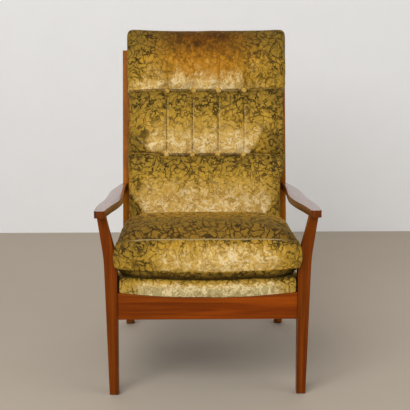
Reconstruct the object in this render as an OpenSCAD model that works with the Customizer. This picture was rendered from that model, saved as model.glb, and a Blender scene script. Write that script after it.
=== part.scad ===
// High-back fireside chair: show-wood frame, sprung seat platform,
// loose seat cushion, and a back cushion with buttons and flutes.
// The front of the chair faces -Y, and the feet stand on z = 0.

/* [Seat frame] */
// Clear width between the front legs
seat_w = 510; // [470:5:600]
// Width over the outer faces of the back legs
back_w = 532; // [500:4:620]
// Depth from the front legs' front face to the back legs' front face
seat_d = 494; // [460:2:580]
// Height of the platform's front edge at its two ends
platform_z = 357; // [340:1:390]
// Backward slope of the seat, in degrees
seat_slope = 7; // [5:0.5:8]

/* [Front legs] */
// Width of a front leg at the seat, seen from the front
leg_w = 36; // [32:1:44]
// Depth of a front leg at the seat
leg_d = 44; // [40:1:56]
// Width of a front leg at the floor
leg_foot_w = 28; // [22:1:34]
// Depth of a front leg at the floor
leg_foot_d = 29; // [24:1:38]
// Width of a front leg under the arm
leg_top_w = 23; // [20:1:30]
// Depth of a front leg under the arm
leg_top_d = 31; // [26:1:40]
// How far a front leg's inner face sweeps outwards from seat to arm
leg_sweep = 29; // [10:1:34]

/* [Arms] */
// Width over both arms
arm_span = 628; // [610:2:700]
// Height of an arm's top at its front end
arm_z = 556; // [530:1:600]
// Thickness of an arm
arm_t = 20; // [18:1:28]
// Greatest width of an arm
arm_w = 47; // [42:1:52]
// How far the arms stand in front of the front legs
arm_overhang = 32; // [15:1:45]
// Backward slope of the arms, in degrees
arm_slope = 5; // [2:0.5:7]
// Corner radius of an arm's front end, in plan
arm_nose_r = 10; // [5:0.5:13]

/* [Back legs] */
// Thickness of a back leg, seen from the front
back_leg_t = 27; // [24:1:34]
// Height of the top of the back legs
back_leg_z = 924; // [860:2:1000]
// Rake of the back from upright, in degrees
rake = 16; // [12:0.5:19]
// Depth of a back leg at the seat
back_leg_d = 48; // [44:1:58]
// Depth of a back leg at its top
back_leg_top_d = 28; // [27:1:36]
// Depth of a back leg at the floor
back_foot_d = 30; // [24:1:40]
// How far the back foot's front edge stands behind the seat joint
back_foot_y = 103; // [50:1:120]

/* [Rails] */
// Thickness of the front rail
front_rail_t = 24; // [20:1:28]
// Height of the front rail at its ends
front_rail_h = 80; // [70:1:86]
// Dip of the front rail's top edge at its middle
front_rail_dip = 14; // [4:1:18]
// Thickness of a side rail
side_rail_t = 22; // [18:1:24]
// Thickness of the rear rail and of the two back rails
back_rail_t = 20; // [18:1:21]
// Height of each back rail
back_rail_h = 46; // [40:1:60]
// Diameter of the frame dowels
dowel_d = 8; // [6:0.5:9]
// Length of the frame dowels
dowel_l = 36; // [30:1:40]

/* [Seat cushion] */
// Clearance between the seat cushion and each front leg
cushion_side_gap = 1; // [1:0.5:30]
// Narrowing of the seat cushion from front to rear, over both sides
cushion_taper = 22; // [10:1:60]
// Height of the border between the two seams
cushion_border = 88; // [70:1:100]
// Rise of the crowned panels above and below the seams
cushion_crown = 25; // [15:1:30]
// How far the cushion's front stands in front of the platform
cushion_overhang = 28; // [5:1:34]

/* [Back cushion] */
// Clearance between the back cushion and the rear end of each arm
pad_side_gap = 2; // [2:0.5:30]
// Top of the back cushion above the seat joint, along the back
pad_top = 686; // [660:2:740]
// Thickness of the back cushion at its sides
pad_side_t = 72; // [64:1:84]
// Extra thickness of the lumbar roll at the middle
lumbar_rise = 36; // [15:1:45]
// Extra thickness of the fluted middle roll
flute_rise = 28; // [14:1:40]
// Extra thickness of the head roll
head_rise = 32; // [14:1:45]
// Depth of the grooves between the flutes
groove_depth = 9; // [3:0.5:12]
// Distance between two buttons in a row
button_pitch = 82; // [70:1:90]
// Diameter of the covered buttons
button_d = 20; // [14:1:24]

/* [Springs] */
// Diameter of the seat springs' wire
wire_d = 3.6; // [3:0.1:4]
// Width of a zigzag seat spring
spring_w = 52; // [48:1:70]
// Number of seat springs
spring_count = 4; // [3:1:4]

/* [Hidden] */

// Clearances, overruns and steps
joint_gap = 0.2;
soft_gap = 0.3;
end_gap = 1;
over = 5;
big = 2000;
round_steps = 48;
curve_steps = 12;
corner_step = 15;

// Colours
wood = "#9c5318";
beech = "#c9a26b";
velvet = "#b0903f";
velvet_pale = "#c4b078";
jute = "#a58a5c";
foam_cream = "#e9e2c8";
black_cloth = "#26241f";
steel = "#9a9a98";

// Floor glides
glide_h = 2.5;
glide_d = 18;
glide_pin_d = 3;
glide_pin_l = 14;

// Front legs
leg_in_x = seat_w / 2;
leg_knee_rise = 15;
leg_knee_z = platform_z + leg_knee_rise;
leg_foot_in = 2;

// Arms
arm_end_w = 15;
tenon_d = 14;
tenon_h = 13;
tenon_y = arm_overhang + leg_top_d / 2;
arm_screw_d = 5;
arm_screw_in = 32;
arm_screw_head_d = 9;
arm_screw_head_h = 3.5;
arm_plug_d = 11;
arm_plug_h = 7;
// Station along an arm, share of the outer sweep, share of the width
arm_shares = [
    [0.00, 1.00, 0.64], [0.05, 1.00, 0.67], [0.09, 0.99, 0.73],
    [0.175, 0.95, 0.85], [0.26, 0.85, 0.94], [0.355, 0.71, 0.97],
    [0.46, 0.635, 1.00], [0.57, 0.604, 0.96], [0.683, 0.55, 0.85],
    [0.785, 0.417, 0.68], [0.89, 0.22, 0.49], [1.00, 0.00, arm_end_w / arm_w]
];
arm_run = 36;

// Back legs, measured along the back from the seat joint
joint_drop = 42;
joint_z = platform_z - joint_drop;
knee_drop = 91;
knee_z = joint_z - knee_drop;
back_leg_s = (back_leg_z - joint_z) / cos(rake);
back_inner_x = back_w / 2 - back_leg_t;

// Rails
rail_drop = 49;
rail_top_z = platform_z - rail_drop;
rail_z0 = rail_top_z - front_rail_h;
rail_set_back = 4;
rail_y0 = rail_set_back;
rail_y1 = rail_set_back + front_rail_t;
rail_tenon_t = 12;
rail_tenon_h = 50;
rail_tenon_l = 24;
side_tenon_t = 10;
side_tenon_l = 17;
side_tenon_h = 42;
side_front_drop = 2;
side_rear_lift = 38.7;
side_rear_drop = seat_d * tan(seat_slope) - side_rear_lift;
side_inset = 7;
side_rear_inset = 2;
side_front_x = leg_in_x + side_inset + side_rail_t / 2;
side_rear_x = back_w / 2 - side_rear_inset - side_rail_t / 2;
rear_rail_set_back = 16;
rear_rail_y = seat_d + rear_rail_set_back;
rear_rail_z = rail_top_z - side_rear_drop;
lower_rail_s = 34;
top_rail_drop = 22;
top_rail_s = back_leg_s - top_rail_drop - back_rail_h;

// Layers of the platform, measured down from its top plane
platform_t = 36;
pad_slab_t = 18;
pad_slab_in = 8;
hessian_t = 1.2;
platform_dip = 12;
platform_dip_l = 150;
roll_r = 11;
pad_z = -platform_t;
hessian_z = pad_z - soft_gap;
spring_z = hessian_z - hessian_t - soft_gap - wire_d / 2;
batten_z = spring_z - wire_d / 2 - joint_gap;
platform_y = rail_set_back;
platform_in = 6;
platform_rear_gap = 2;
platform_end = seat_d - platform_rear_gap;
platform_steps = 14;

// Battens, springs and clips
batten_w = 26;
front_batten_h = 40;
rear_batten_lift = 3.6;
side_batten_w = 16;
side_batten_h = 24;
spring_pitch = 30;
bend_steps = 5;
wire_sides = 6;
clip_l = 15;

// Corner blocks
block_leg = 42;
block_gap = 7.5;
block_lift = 3;
block_screw_d = 4;
block_screw_in = 14;
block_screw_seat = 9;
block_screw_head_d = 8;
block_screw_head_h = 3;
block_screw_share = 0.57;

// Cloth under the seat, and tacks
dust_t = 0.8;
dust_in = 2;
tack_d = 7;
tack_h = 1.2;
tack_pin_d = 1.6;
tack_pin_l = 9;
// Places of the tacks along a rail
tack_shares = [-0.84, -0.42, 0, 0.42, 0.84];

// Seat cushion
cushion_z = cushion_crown + soft_gap;
cushion_corner_r = 42;
cushion_pull = 5;
cushion_bulge = 4;
cushion_rear_gap = 1;
cushion_foam_in = 30;
cushion_foam_t = 66;
side_steps = 5;
// Share of the half plan and share of the crown, from seam to centre
crown_shares = [
    [1.00, 0.00], [0.95, 0.26], [0.86, 0.52], [0.70, 0.76], [0.48, 0.91],
    [0.22, 0.99]
];
// Share of the border's height and share of its bulge
border_shares = [[0.22, 0.62], [0.50, 1.00], [0.78, 0.62]];

// Back cushion
pad_w = back_w - 2 * (arm_end_w + pad_side_gap);
pad_bottom = 8;
pad_corner_r = 24;
pad_waist = 3;
pad_edge_drop = 14;
pad_cross_power = 6;
pad_edge_power = 16;
button_row_shares = [0.40, 0.702];
button_row_s = [for (k = button_row_shares) lerp(pad_bottom, pad_top, k)];
button_sink = 13;
pit_reach = 13;
valley_rise = 13;
pit_floor = pad_side_t + valley_rise - button_sink;
groove_reach = 16;
button_h = 8;
button_rim_h = 2.5;
tie_d = 1.6;
tie_sides = 6;
toggle_d = 12;
toggle_h = 3;
pad_foam_in = 30;
pad_foam_t = 42;
pad_foam_back = 10;
// Share of a roll's height and share of its rise, from low to high
lumbar_shares = [
    [0.00, 0.00], [0.11, 0.15], [0.25, 0.42], [0.40, 0.76], [0.54, 0.95],
    [0.67, 1.00], [0.80, 0.92], [0.91, 0.70], [1.00, valley_rise / lumbar_rise]
];
flute_shares = [
    [0.00, valley_rise / flute_rise], [0.10, 0.78], [0.25, 0.97], [0.50, 1.00],
    [0.75, 0.97], [0.90, 0.78], [1.00, valley_rise / flute_rise]
];
head_shares = [
    [0.00, valley_rise / head_rise], [0.09, 0.62], [0.22, 0.86], [0.42, 1.00],
    [0.62, 0.96], [0.80, 0.70], [0.92, 0.25], [1.00, -0.60]
];
// Places of the rows of points below, between and above the buttons
low_row_shares = [0, 0.03, 0.09, 0.22, 0.38, 0.54, 0.70, 0.84];
flute_row_shares = [0.25, 0.50, 0.75];
high_row_shares = [0.16, 0.36, 0.58, 0.76, 0.87, 0.94, 0.98, 1];
// Places of the lines of points outside the outer buttons
side_line_shares = [0.38, 0.68, 0.88, 0.97, 1];

// Webbing, hessian and the outside back
web_w = 50;
web_t = 2.2;
web_tack_share = 0.28;
back_hessian_in = 2;
layer_recess = hessian_t + soft_gap + tack_h + web_t;
outside_t = 1.2;
outside_n = layer_recess + back_rail_t;

// Depth of the whole chair, and the middle that the origin stands under
front_y = -(arm_overhang + arm_t * sin(arm_slope));
rear_y = seat_d + back_leg_s * sin(rake) + back_leg_top_d * cos(rake);
mid_y = (front_y + rear_y) / 2;

// Helpers

function lerp(a, b, t) = a + (b - a) * t;

// A point of a cubic curve with four control points
function bezier_at(p, t) =
    pow(1 - t, 3) * p[0] + 3 * pow(1 - t, 2) * t * p[1]
    + 3 * (1 - t) * t * t * p[2] + pow(t, 3) * p[3];

// Points of that curve, without its last one
function bezier(p) =
    [for (i = [0:curve_steps - 1]) bezier_at(p, i / curve_steps)];

// A smooth value of column c of a table whose first column is the station
function table_at(table, u, c, i = 0) =
    i < len(table) - 2 && u > table[i + 1][0]
    ? table_at(table, u, c, i + 1)
    : let (
        a = table[max(i - 1, 0)],
        b = table[i],
        d = table[i + 1],
        e = table[min(i + 2, len(table) - 1)],
        t = (u - b[0]) / (d[0] - b[0]),
        m0 = (d[c] - a[c]) / (d[0] - a[0]) * (d[0] - b[0]),
        m1 = (e[c] - b[c]) / (e[0] - b[0]) * (d[0] - b[0])
    )
    (2 * pow(t, 3) - 3 * t * t + 1) * b[c] + (pow(t, 3) - 2 * t * t + t) * m0
    + (3 * t * t - 2 * pow(t, 3)) * d[c] + (pow(t, 3) - t * t) * m1;

// Puts what is measured from the front legs' front face into the part's frame
module placed() {
    translate([0, -mid_y, 0]) children();
}

// Origin on the platform's front top edge, y down the seat's slope
module seat_frame() {
    translate([0, platform_y, platform_z]) rotate([-seat_slope, 0, 0]) children();
}

// Height above the floor of a point z above the platform's plane, at depth y
function seat_height(y, z) =
    platform_z - (y - platform_y) * tan(seat_slope) + z / cos(seat_slope);

// The same point's distance down the slope
function seat_run(y, z) =
    (y - platform_y - z * sin(seat_slope)) / cos(seat_slope);

// Origin at an arm's front end, on its top, y down the arm's slope
module arm_frame() {
    translate([0, -arm_overhang, arm_z]) rotate([-arm_slope, 0, 0]) children();
}

// Origin at the seat joint on the back legs' front faces, z up the back
module back_frame() {
    translate([0, seat_d, joint_z]) rotate([-rake, 0, 0]) children();
}

// Extrudes [y, z] points along x
module side_profile(x0, x1, points) {
    translate([x0, 0, 0]) rotate([90, 0, 90])
        linear_extrude(x1 - x0) polygon(points);
}

// Extrudes [x, z] points along y
module front_profile(y0, y1, points) {
    translate([0, y1, 0]) rotate([90, 0, 0])
        linear_extrude(y1 - y0) polygon(points);
}

module both_sides() {
    children();
    mirror([1, 0, 0]) children();
}

// A block given by its lowest and highest corner
module block(low, high) {
    translate(low) cube(high - low);
}

module bore(d, h) {
    cylinder(d = d, h = h, $fn = round_steps);
}

// Triangles that close a ring of n points by pairing them from both ends
function paired_cap(n) = [
    for (i = [0:n / 2 - 2]) each [[i, i + 1, n - 2 - i], [i, n - 2 - i, n - 1 - i]]
];

// A closed skin over rings of points, each counter-clockwise from its far end
module skin(rings, cap) {
    n = len(rings[0]);
    last = (len(rings) - 1) * n;
    polyhedron(
        points = [for (r = rings) each r],
        faces = [
            each cap,
            for (j = [0:n:last - n]) for (i = [0:n - 1])
                let (k = (i + 1) % n)
                each [[j + i, j + n + k, j + k], [j + i, j + n + i, j + n + k]],
            for (f = cap) [last + f[2], last + f[1], last + f[0]]
        ],
        convexity = 6
    );
}

// Front legs

front_glide = [leg_in_x + leg_foot_in + (leg_foot_w - leg_foot_in) / 2, leg_foot_d / 2];
back_glide = [back_w / 2 - back_leg_t / 2, seat_d + back_foot_y + back_foot_d / 2];

// Front view of the right front leg, its knee and sweep given as shares
knee_shares = [0.25, 0.66, 0.72];
swell_shares = [0.66, 0.30, 0.80];
leg_front_points = [
    [leg_in_x + leg_foot_in, glide_h],
    each bezier([
        [leg_in_x, leg_knee_z],
        [leg_in_x, lerp(leg_knee_z, arm_z, knee_shares[0])],
        [leg_in_x + leg_sweep * knee_shares[2], lerp(leg_knee_z, arm_z, knee_shares[1])],
        [leg_in_x + leg_sweep, arm_z]
    ]),
    [leg_in_x + leg_sweep, arm_z],
    each bezier([
        [leg_in_x + leg_sweep + leg_top_w, arm_z],
        [leg_in_x + leg_sweep * swell_shares[2] + leg_top_w, lerp(leg_knee_z, arm_z, swell_shares[0])],
        [leg_in_x + leg_w, lerp(leg_knee_z, arm_z, swell_shares[1])],
        [leg_in_x + leg_w, leg_knee_z]
    ]),
    [leg_in_x + leg_w, leg_knee_z],
    [leg_in_x + leg_foot_w, glide_h]
];

// Side view of a front leg
waist_shares = [0.50, 0.35];
leg_side_points = [
    [0, glide_h],
    [0, arm_z],
    each bezier([
        [leg_top_d, arm_z],
        [leg_top_d, lerp(leg_knee_z, arm_z, waist_shares[0])],
        [leg_d, lerp(leg_knee_z, arm_z, waist_shares[1])],
        [leg_d, leg_knee_z]
    ]),
    [leg_d, leg_knee_z],
    [leg_d, rail_z0],
    [leg_foot_d, glide_h]
];

module glide_hole(place) {
    translate([place[0], place[1], glide_h - over])
        bore(glide_pin_d + joint_gap, over + glide_pin_l + end_gap);
}

module front_leg() {
    color(wood) placed() {
        difference() {
            intersection() {
                front_profile(0, leg_d, leg_front_points);
                side_profile(leg_in_x - over, leg_in_x + leg_w + leg_sweep + over, leg_side_points);
            }
            arm_frame() translate([0, -big / 2, -arm_t]) cube(big);
            front_tenon(joint_gap);
            side_tenon_front(joint_gap);
            glide_hole(front_glide);
        }
        arm_frame() translate([arm_tenon_x, tenon_y, -arm_t - over]) bore(tenon_d, over + tenon_h);
    }
}

// Arms

arm_tenon_x = leg_in_x + leg_sweep + leg_top_w / 2;
arm_back_s = (arm_z - joint_z - (seat_d + arm_overhang) * tan(arm_slope))
    / (cos(rake) + sin(rake) * tan(arm_slope));
arm_len = (seat_d + arm_overhang + arm_back_s * sin(rake)) / cos(arm_slope);
arm_screw_s = arm_back_s - arm_t / 2 / cos(rake - arm_slope);
screw_leg_d = lerp(back_leg_d, back_leg_top_d, arm_screw_s / back_leg_s);

// Outer and inner edge of the right arm at a share of its length
function arm_outer(u) =
    back_w / 2 + (arm_span - back_w) / 2 * table_at(arm_shares, u, 1);
function arm_inner(u) = arm_outer(u) - arm_w * table_at(arm_shares, u, 2);

arm_points = [
    for (a = [180:corner_step:270])
        [arm_inner(0) + arm_nose_r * (1 + cos(a)), arm_nose_r * (1 + sin(a))],
    for (a = [270:corner_step:360])
        [arm_outer(0) - arm_nose_r * (1 - cos(a)), arm_nose_r * (1 + sin(a))],
    for (i = [2:arm_run]) [arm_outer(i / arm_run), i / arm_run * arm_len],
    [arm_outer(1), arm_len + arm_t],
    [arm_inner(1), arm_len + arm_t],
    for (i = [arm_run:-1:2]) [arm_inner(i / arm_run), i / arm_run * arm_len]
];

// The line of the screw into an arm's rear end, square to the back leg
module arm_screw_line() {
    back_frame() translate([back_w / 2 - arm_end_w / 2, 0, arm_screw_s])
        rotate([90, 0, 0]) children();
}

module arm() {
    color(wood) placed() difference() {
        arm_frame() translate([0, 0, -arm_t]) linear_extrude(arm_t) polygon(arm_points);
        back_frame() translate([-big / 2, -joint_gap, -big / 2]) cube(big);
        arm_frame() translate([arm_tenon_x, tenon_y, -arm_t - over])
            bore(tenon_d + joint_gap, over + tenon_h + end_gap);
        arm_screw_line() bore(arm_screw_d + joint_gap, arm_screw_in + end_gap);
    }
}

// Back legs

// A point n behind the back legs' front faces and s up the back, in side view
function on_back(n, s) = [
    seat_d + s * sin(rake) + n * cos(rake),
    joint_z + s * cos(rake) - n * sin(rake)
];

// Shares of the leg's splay and height that shape its sabre curve
splay_shares = [0.45, 0.20];
drop_shares = [0.50, 0.76, 0.86];
thin_shares = [0.55, 0.80];
rise_shares = [0.45, 0.20];
calf_shares = [0.50, 0.12];
back_leg_points = [
    [seat_d + back_foot_y, glide_h],
    each bezier([
        [seat_d + back_foot_y * splay_shares[0], knee_z * drop_shares[0]],
        [seat_d + back_foot_y * splay_shares[1], knee_z * drop_shares[1]],
        [seat_d, knee_z * drop_shares[2]],
        [seat_d, knee_z]
    ]),
    [seat_d, knee_z],
    on_back(0, 0),
    on_back(0, back_leg_s),
    on_back(back_leg_top_d, back_leg_s),
    each bezier([
        on_back(lerp(back_leg_top_d, back_leg_d, thin_shares[0]), back_leg_s * rise_shares[0]),
        on_back(lerp(back_leg_top_d, back_leg_d, thin_shares[1]), back_leg_s * rise_shares[1]),
        [seat_d + back_leg_d, joint_z],
        [seat_d + back_leg_d, (knee_z + joint_z) / 2]
    ]),
    each bezier([
        [seat_d + back_leg_d, (knee_z + joint_z) / 2],
        [seat_d + back_leg_d, knee_z],
        [seat_d + lerp(back_leg_d, back_foot_y + back_foot_d, calf_shares[1]), knee_z * drop_shares[1]],
        [seat_d + lerp(back_leg_d, back_foot_y + back_foot_d, calf_shares[0]), knee_z * drop_shares[0]]
    ]),
    [seat_d + lerp(back_leg_d, back_foot_y + back_foot_d, calf_shares[0]), knee_z * drop_shares[0]],
    [seat_d + back_foot_y + back_foot_d, glide_h]
];

module back_leg() {
    color(wood) placed() difference() {
        side_profile(back_inner_x, back_w / 2, back_leg_points);
        side_tenon_rear(joint_gap);
        dowel_line(joint_gap, dowel_l + 2 * end_gap);
        glide_hole(back_glide);
        arm_screw_line() translate([0, 0, -big / 2]) bore(arm_screw_d + joint_gap, big);
        arm_screw_line() translate([0, 0, -screw_leg_d - big / 2])
            bore(arm_plug_d + joint_gap, big / 2 + arm_plug_h + arm_screw_head_h);
    }
}

// Rails

dip_r = (pow(leg_in_x, 2) + pow(front_rail_dip, 2)) / (2 * front_rail_dip);

// Height of the front rail's dipped top edge
function rail_edge(x) =
    rail_top_z - front_rail_dip + dip_r - sqrt(dip_r * dip_r - x * x);

module front_tenon(grow) {
    y = (rail_y0 + rail_y1) / 2;
    z = (rail_z0 + rail_top_z - front_rail_dip) / 2;
    block(
        [leg_in_x - over, y - rail_tenon_t / 2 - grow, z - rail_tenon_h / 2 - grow],
        [leg_in_x + rail_tenon_l + grow, y + rail_tenon_t / 2 + grow, z + rail_tenon_h / 2 + grow]
    );
}

module front_rail() {
    color(wood) placed() difference() {
        union() {
            difference() {
                block(
                    [-leg_in_x + joint_gap, rail_y0, rail_z0],
                    [leg_in_x - joint_gap, rail_y1, rail_top_z]
                );
                translate([0, rail_y1 + over, rail_top_z - front_rail_dip + dip_r])
                    rotate([90, 0, 0]) cylinder(r = dip_r, h = front_rail_t + 2 * over, $fn = 8 * round_steps);
            }
            both_sides() front_tenon(0);
        }
        both_sides() block_screw(0) bore(block_screw_d + joint_gap, block_screw_seat + block_screw_in + end_gap);
        dust_tacks(joint_gap);
    }
}

module side_tenon_front(grow) {
    z = (rail_z0 + rail_top_z - side_front_drop) / 2;
    block(
        [side_front_x - side_tenon_t / 2 - grow, leg_d - side_tenon_l - grow, z - side_tenon_h / 2 - grow],
        [side_front_x + side_tenon_t / 2 + grow, leg_d + over, z + side_tenon_h / 2 + grow]
    );
}

module side_tenon_rear(grow) {
    z = (rail_z0 + rear_rail_z) / 2;
    block(
        [side_rear_x - side_tenon_t / 2 - grow, seat_d - over, z - side_tenon_h / 2 - grow],
        [side_rear_x + side_tenon_t / 2 + grow, seat_d + side_tenon_l + grow, z + side_tenon_h / 2 + grow]
    );
}

module side_rail() {
    color(wood) placed() difference() {
        union() {
            intersection() {
                linear_extrude(big) polygon([
                    [side_front_x - side_rail_t / 2, leg_d + joint_gap],
                    [side_front_x + side_rail_t / 2, leg_d + joint_gap],
                    [side_rear_x + side_rail_t / 2, seat_d - joint_gap],
                    [side_rear_x - side_rail_t / 2, seat_d - joint_gap]
                ]);
                side_profile(0, big, [
                    [leg_d, rail_z0],
                    [leg_d, rail_top_z - side_front_drop],
                    [seat_d, rear_rail_z],
                    [seat_d, rail_z0]
                ]);
            }
            side_tenon_front(0);
            side_tenon_rear(0);
        }
        dust_tacks(joint_gap);
    }
}

// Dowels that join the rear rail and the two back rails to a back leg
dowel_shares = [0.26, 0.74];
module dowel_line(grow, length) {
    for (k = dowel_shares)
        translate([
            back_inner_x - length / 2,
            rear_rail_y + back_rail_t / 2,
            lerp(rail_z0, rear_rail_z, k)
        ]) rotate([0, 90, 0]) bore(dowel_d + grow, length);
    back_frame() for (s = [lower_rail_s, top_rail_s]) for (k = dowel_shares)
        translate([back_inner_x - length / 2, layer_recess + back_rail_t / 2, s + back_rail_h * k])
            rotate([0, 90, 0]) bore(dowel_d + grow, length);
}

module rail_dowels() {
    color(beech) placed() both_sides() dowel_line(0, dowel_l);
}

module rear_rail() {
    color(wood) placed() difference() {
        block(
            [-back_inner_x + joint_gap, rear_rail_y, rail_z0],
            [back_inner_x - joint_gap, rear_rail_y + back_rail_t, rear_rail_z]
        );
        both_sides() dowel_line(joint_gap, dowel_l + 2 * end_gap);
        both_sides() block_screw(1) bore(block_screw_d + joint_gap, block_screw_seat + block_screw_in + end_gap);
        dust_tacks(joint_gap);
    }
}

module back_rail(s) {
    color(wood) placed() difference() {
        back_frame() block(
            [-back_inner_x + joint_gap, layer_recess, s],
            [back_inner_x - joint_gap, layer_recess + back_rail_t, s + back_rail_h]
        );
        both_sides() dowel_line(joint_gap, dowel_l + 2 * end_gap);
        web_tacks(joint_gap);
        outside_tacks(joint_gap);
    }
}

module back_top_rail() {
    back_rail(top_rail_s);
}

module back_lower_rail() {
    back_rail(lower_rail_s);
}

// Battens that carry the springs and the platform's edges

// Inner face of the right side rail at a depth
function side_inner(y) =
    lerp(side_front_x, side_rear_x, (y - leg_d) / (seat_d - leg_d)) - side_rail_t / 2;

rear_batten_y = rear_rail_y - joint_gap - batten_w;
front_batten_y = rail_y1 + joint_gap;
rear_batten_h = seat_height(rear_batten_y + batten_w / 2, batten_z) - rail_z0 - rear_batten_lift;

module batten(y0, half_w, h) {
    side_profile(-half_w, half_w, [
        [y0, seat_height(y0 + batten_w / 2, batten_z) - h],
        [y0 + batten_w, seat_height(y0 + batten_w / 2, batten_z) - h],
        [y0 + batten_w, seat_height(y0 + batten_w, batten_z)],
        [y0, seat_height(y0, batten_z)]
    ]);
}

module front_batten() {
    color(beech) placed() batten(front_batten_y, leg_in_x - joint_gap, front_batten_h);
}

module rear_batten() {
    color(beech) placed()
        batten(rear_batten_y, back_inner_x - block_leg - end_gap, rear_batten_h);
}

module side_battens() {
    y0 = front_batten_y + batten_w + end_gap;
    y1 = seat_d - block_leg - 2 * end_gap;
    top = hessian_z - hessian_t - soft_gap;
    color(beech) placed() both_sides() intersection() {
        linear_extrude(big) polygon([
            [side_inner(y0) - joint_gap, y0],
            [side_inner(y1) - joint_gap, y1],
            [side_inner(y1) - side_batten_w, y1],
            [side_inner(y0) - side_batten_w, y0]
        ]);
        side_profile(0, big, [
            [y0, seat_height(y0, top) - side_batten_h],
            [y1, seat_height(y1, top) - side_batten_h],
            [y1, seat_height(y1, top)],
            [y0, seat_height(y0, top)]
        ]);
    }
}

// Corner blocks, the front ones called with 0 and the rear ones with 1

block_z = rail_z0 + block_lift;
block_h = seat_height(seat_d, pad_z) - block_gap - block_z;

// A screw's line from a block into its rail, its head's underside at zero
module block_screw(rear) {
    y = rear ? rear_rail_y - joint_gap - block_screw_seat : rail_y1 + joint_gap + block_screw_seat;
    x = (rear ? back_inner_x : leg_in_x) - block_leg * block_screw_share;
    translate([x, y, block_z + block_h / 2]) rotate([rear ? -90 : 90, 0, 0]) children();
}

module corner_block(rear) {
    y = rear ? rear_rail_y - joint_gap : rail_y1 + joint_gap;
    way = rear ? -1 : 1;
    leg_x = (rear ? back_inner_x : leg_in_x) - joint_gap;
    leg_y = rear ? seat_d - joint_gap : leg_d + joint_gap;
    difference() {
        translate([0, 0, block_z]) linear_extrude(block_h) polygon([
            [leg_x - block_leg, y],
            [leg_x, y],
            [leg_x, leg_y],
            [side_inner(leg_y) - joint_gap, leg_y],
            [side_inner(leg_y + way * block_leg) - joint_gap, leg_y + way * block_leg]
        ]);
        block_screw(rear) bore(block_screw_d + joint_gap, block_screw_seat + over);
        block_screw(rear) translate([0, 0, -big / 2])
            bore(block_screw_head_d + joint_gap, big / 2);
    }
}

module corner_blocks() {
    color(beech) placed() both_sides() {
        corner_block(0);
        corner_block(1);
    }
}

// Fasteners

// A screw along z with its head's underside at zero
module screw(head_d, head_h, shank_d, length) {
    translate([0, 0, -head_h]) bore(head_d, head_h);
    translate([0, 0, -head_h / 2]) bore(shank_d, length + head_h / 2);
}

module corner_block_screws() {
    color(steel) placed() both_sides() for (rear = [0, 1]) block_screw(rear)
        screw(block_screw_head_d, block_screw_head_h, block_screw_d, block_screw_seat + block_screw_in);
}

module arm_screws() {
    color(steel) placed() both_sides() arm_screw_line()
        translate([0, 0, arm_plug_h + arm_screw_head_h - screw_leg_d])
            screw(
                arm_screw_head_d, arm_screw_head_h, arm_screw_d,
                screw_leg_d - arm_plug_h - arm_screw_head_h + arm_screw_in
            );
}

// Wooden plugs over the arm screws' heads, flush with the back legs
module arm_plugs() {
    color(wood) placed() both_sides() arm_screw_line()
        translate([0, 0, -screw_leg_d]) bore(arm_plug_d, arm_plug_h);
}

module foot_glides() {
    color(steel) placed() both_sides() for (p = [front_glide, back_glide])
        translate([p[0], p[1], 0]) {
            bore(glide_d, glide_h);
            bore(glide_pin_d, glide_h + glide_pin_l);
        }
}

// A tack along z, its head's underside at zero; grown, it is its hole
module tack(grow) {
    if (grow == 0) translate([0, 0, -tack_h]) bore(tack_d, tack_h);
    translate([0, 0, grow == 0 ? -tack_h : -over])
        bore(tack_pin_d + grow, tack_pin_l + (grow == 0 ? tack_h : over + end_gap));
}

module dust_tacks(grow) {
    z = rail_z0 - dust_t;
    for (k = tack_shares) {
        translate([k * leg_in_x, (rail_y0 + rail_y1) / 2, z]) tack(grow);
        translate([k * back_inner_x, rear_rail_y + back_rail_t / 2, z]) tack(grow);
        both_sides() translate([
            lerp(side_front_x, side_rear_x, (k + 1) / 2),
            lerp(leg_d, seat_d, (k + 1) / 2),
            z
        ]) tack(grow);
    }
}

module web_tacks(grow) {
    back_frame() for (x = button_x) for (s = [lower_rail_s, top_rail_s])
        for (way = [-1, 1])
            translate([x + way * web_w * web_tack_share, layer_recess - web_t, s + back_rail_h / 2])
                rotate([-90, 0, 0]) tack(grow);
}

module outside_tacks(grow) {
    back_frame() for (k = tack_shares) for (s = [lower_rail_s, top_rail_s])
        translate([k * back_inner_x, outside_n + outside_t, s + back_rail_h * web_tack_share])
            rotate([90, 0, 0]) tack(grow);
}

module dust_cover_tacks() {
    color(steel) placed() dust_tacks(0);
}

module webbing_tacks() {
    color(steel) placed() web_tacks(0);
}

module outside_back_tacks() {
    color(steel) placed() outside_tacks(0);
}

// Sprung platform

spring_run0 = seat_run(front_batten_y + batten_w / 2, spring_z);
spring_run1 = seat_run(rear_batten_y + batten_w / 2, spring_z);
spring_len = spring_run1 - spring_run0;
spring_bars = 2 * floor(spring_len / spring_pitch / 2) + 1;
spring_step = spring_len / (spring_bars - 1);
spring_gap = 2 * (back_inner_x - block_leg - spring_w / 2 - 2 * end_gap) / (spring_count - 1);
spring_bar = spring_w - spring_step;
clip_w = spring_bar - 2 * wire_d;

// Middle line of a zigzag spring along y: straight bars joined by half circles
zigzag_points = [
    for (i = [0:spring_bars - 1]) let (way = i % 2 ? -1 : 1) each [
        [-way * spring_bar / 2, i * spring_step],
        [way * spring_bar / 2, i * spring_step],
        if (i < spring_bars - 1) for (k = [1:bend_steps - 1]) let (a = 180 * k / bend_steps - 90)
            [
                way * (spring_bar / 2 + spring_step / 2 * cos(a)),
                (i + 0.5) * spring_step + spring_step / 2 * sin(a)
            ]
    ]
];

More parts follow.
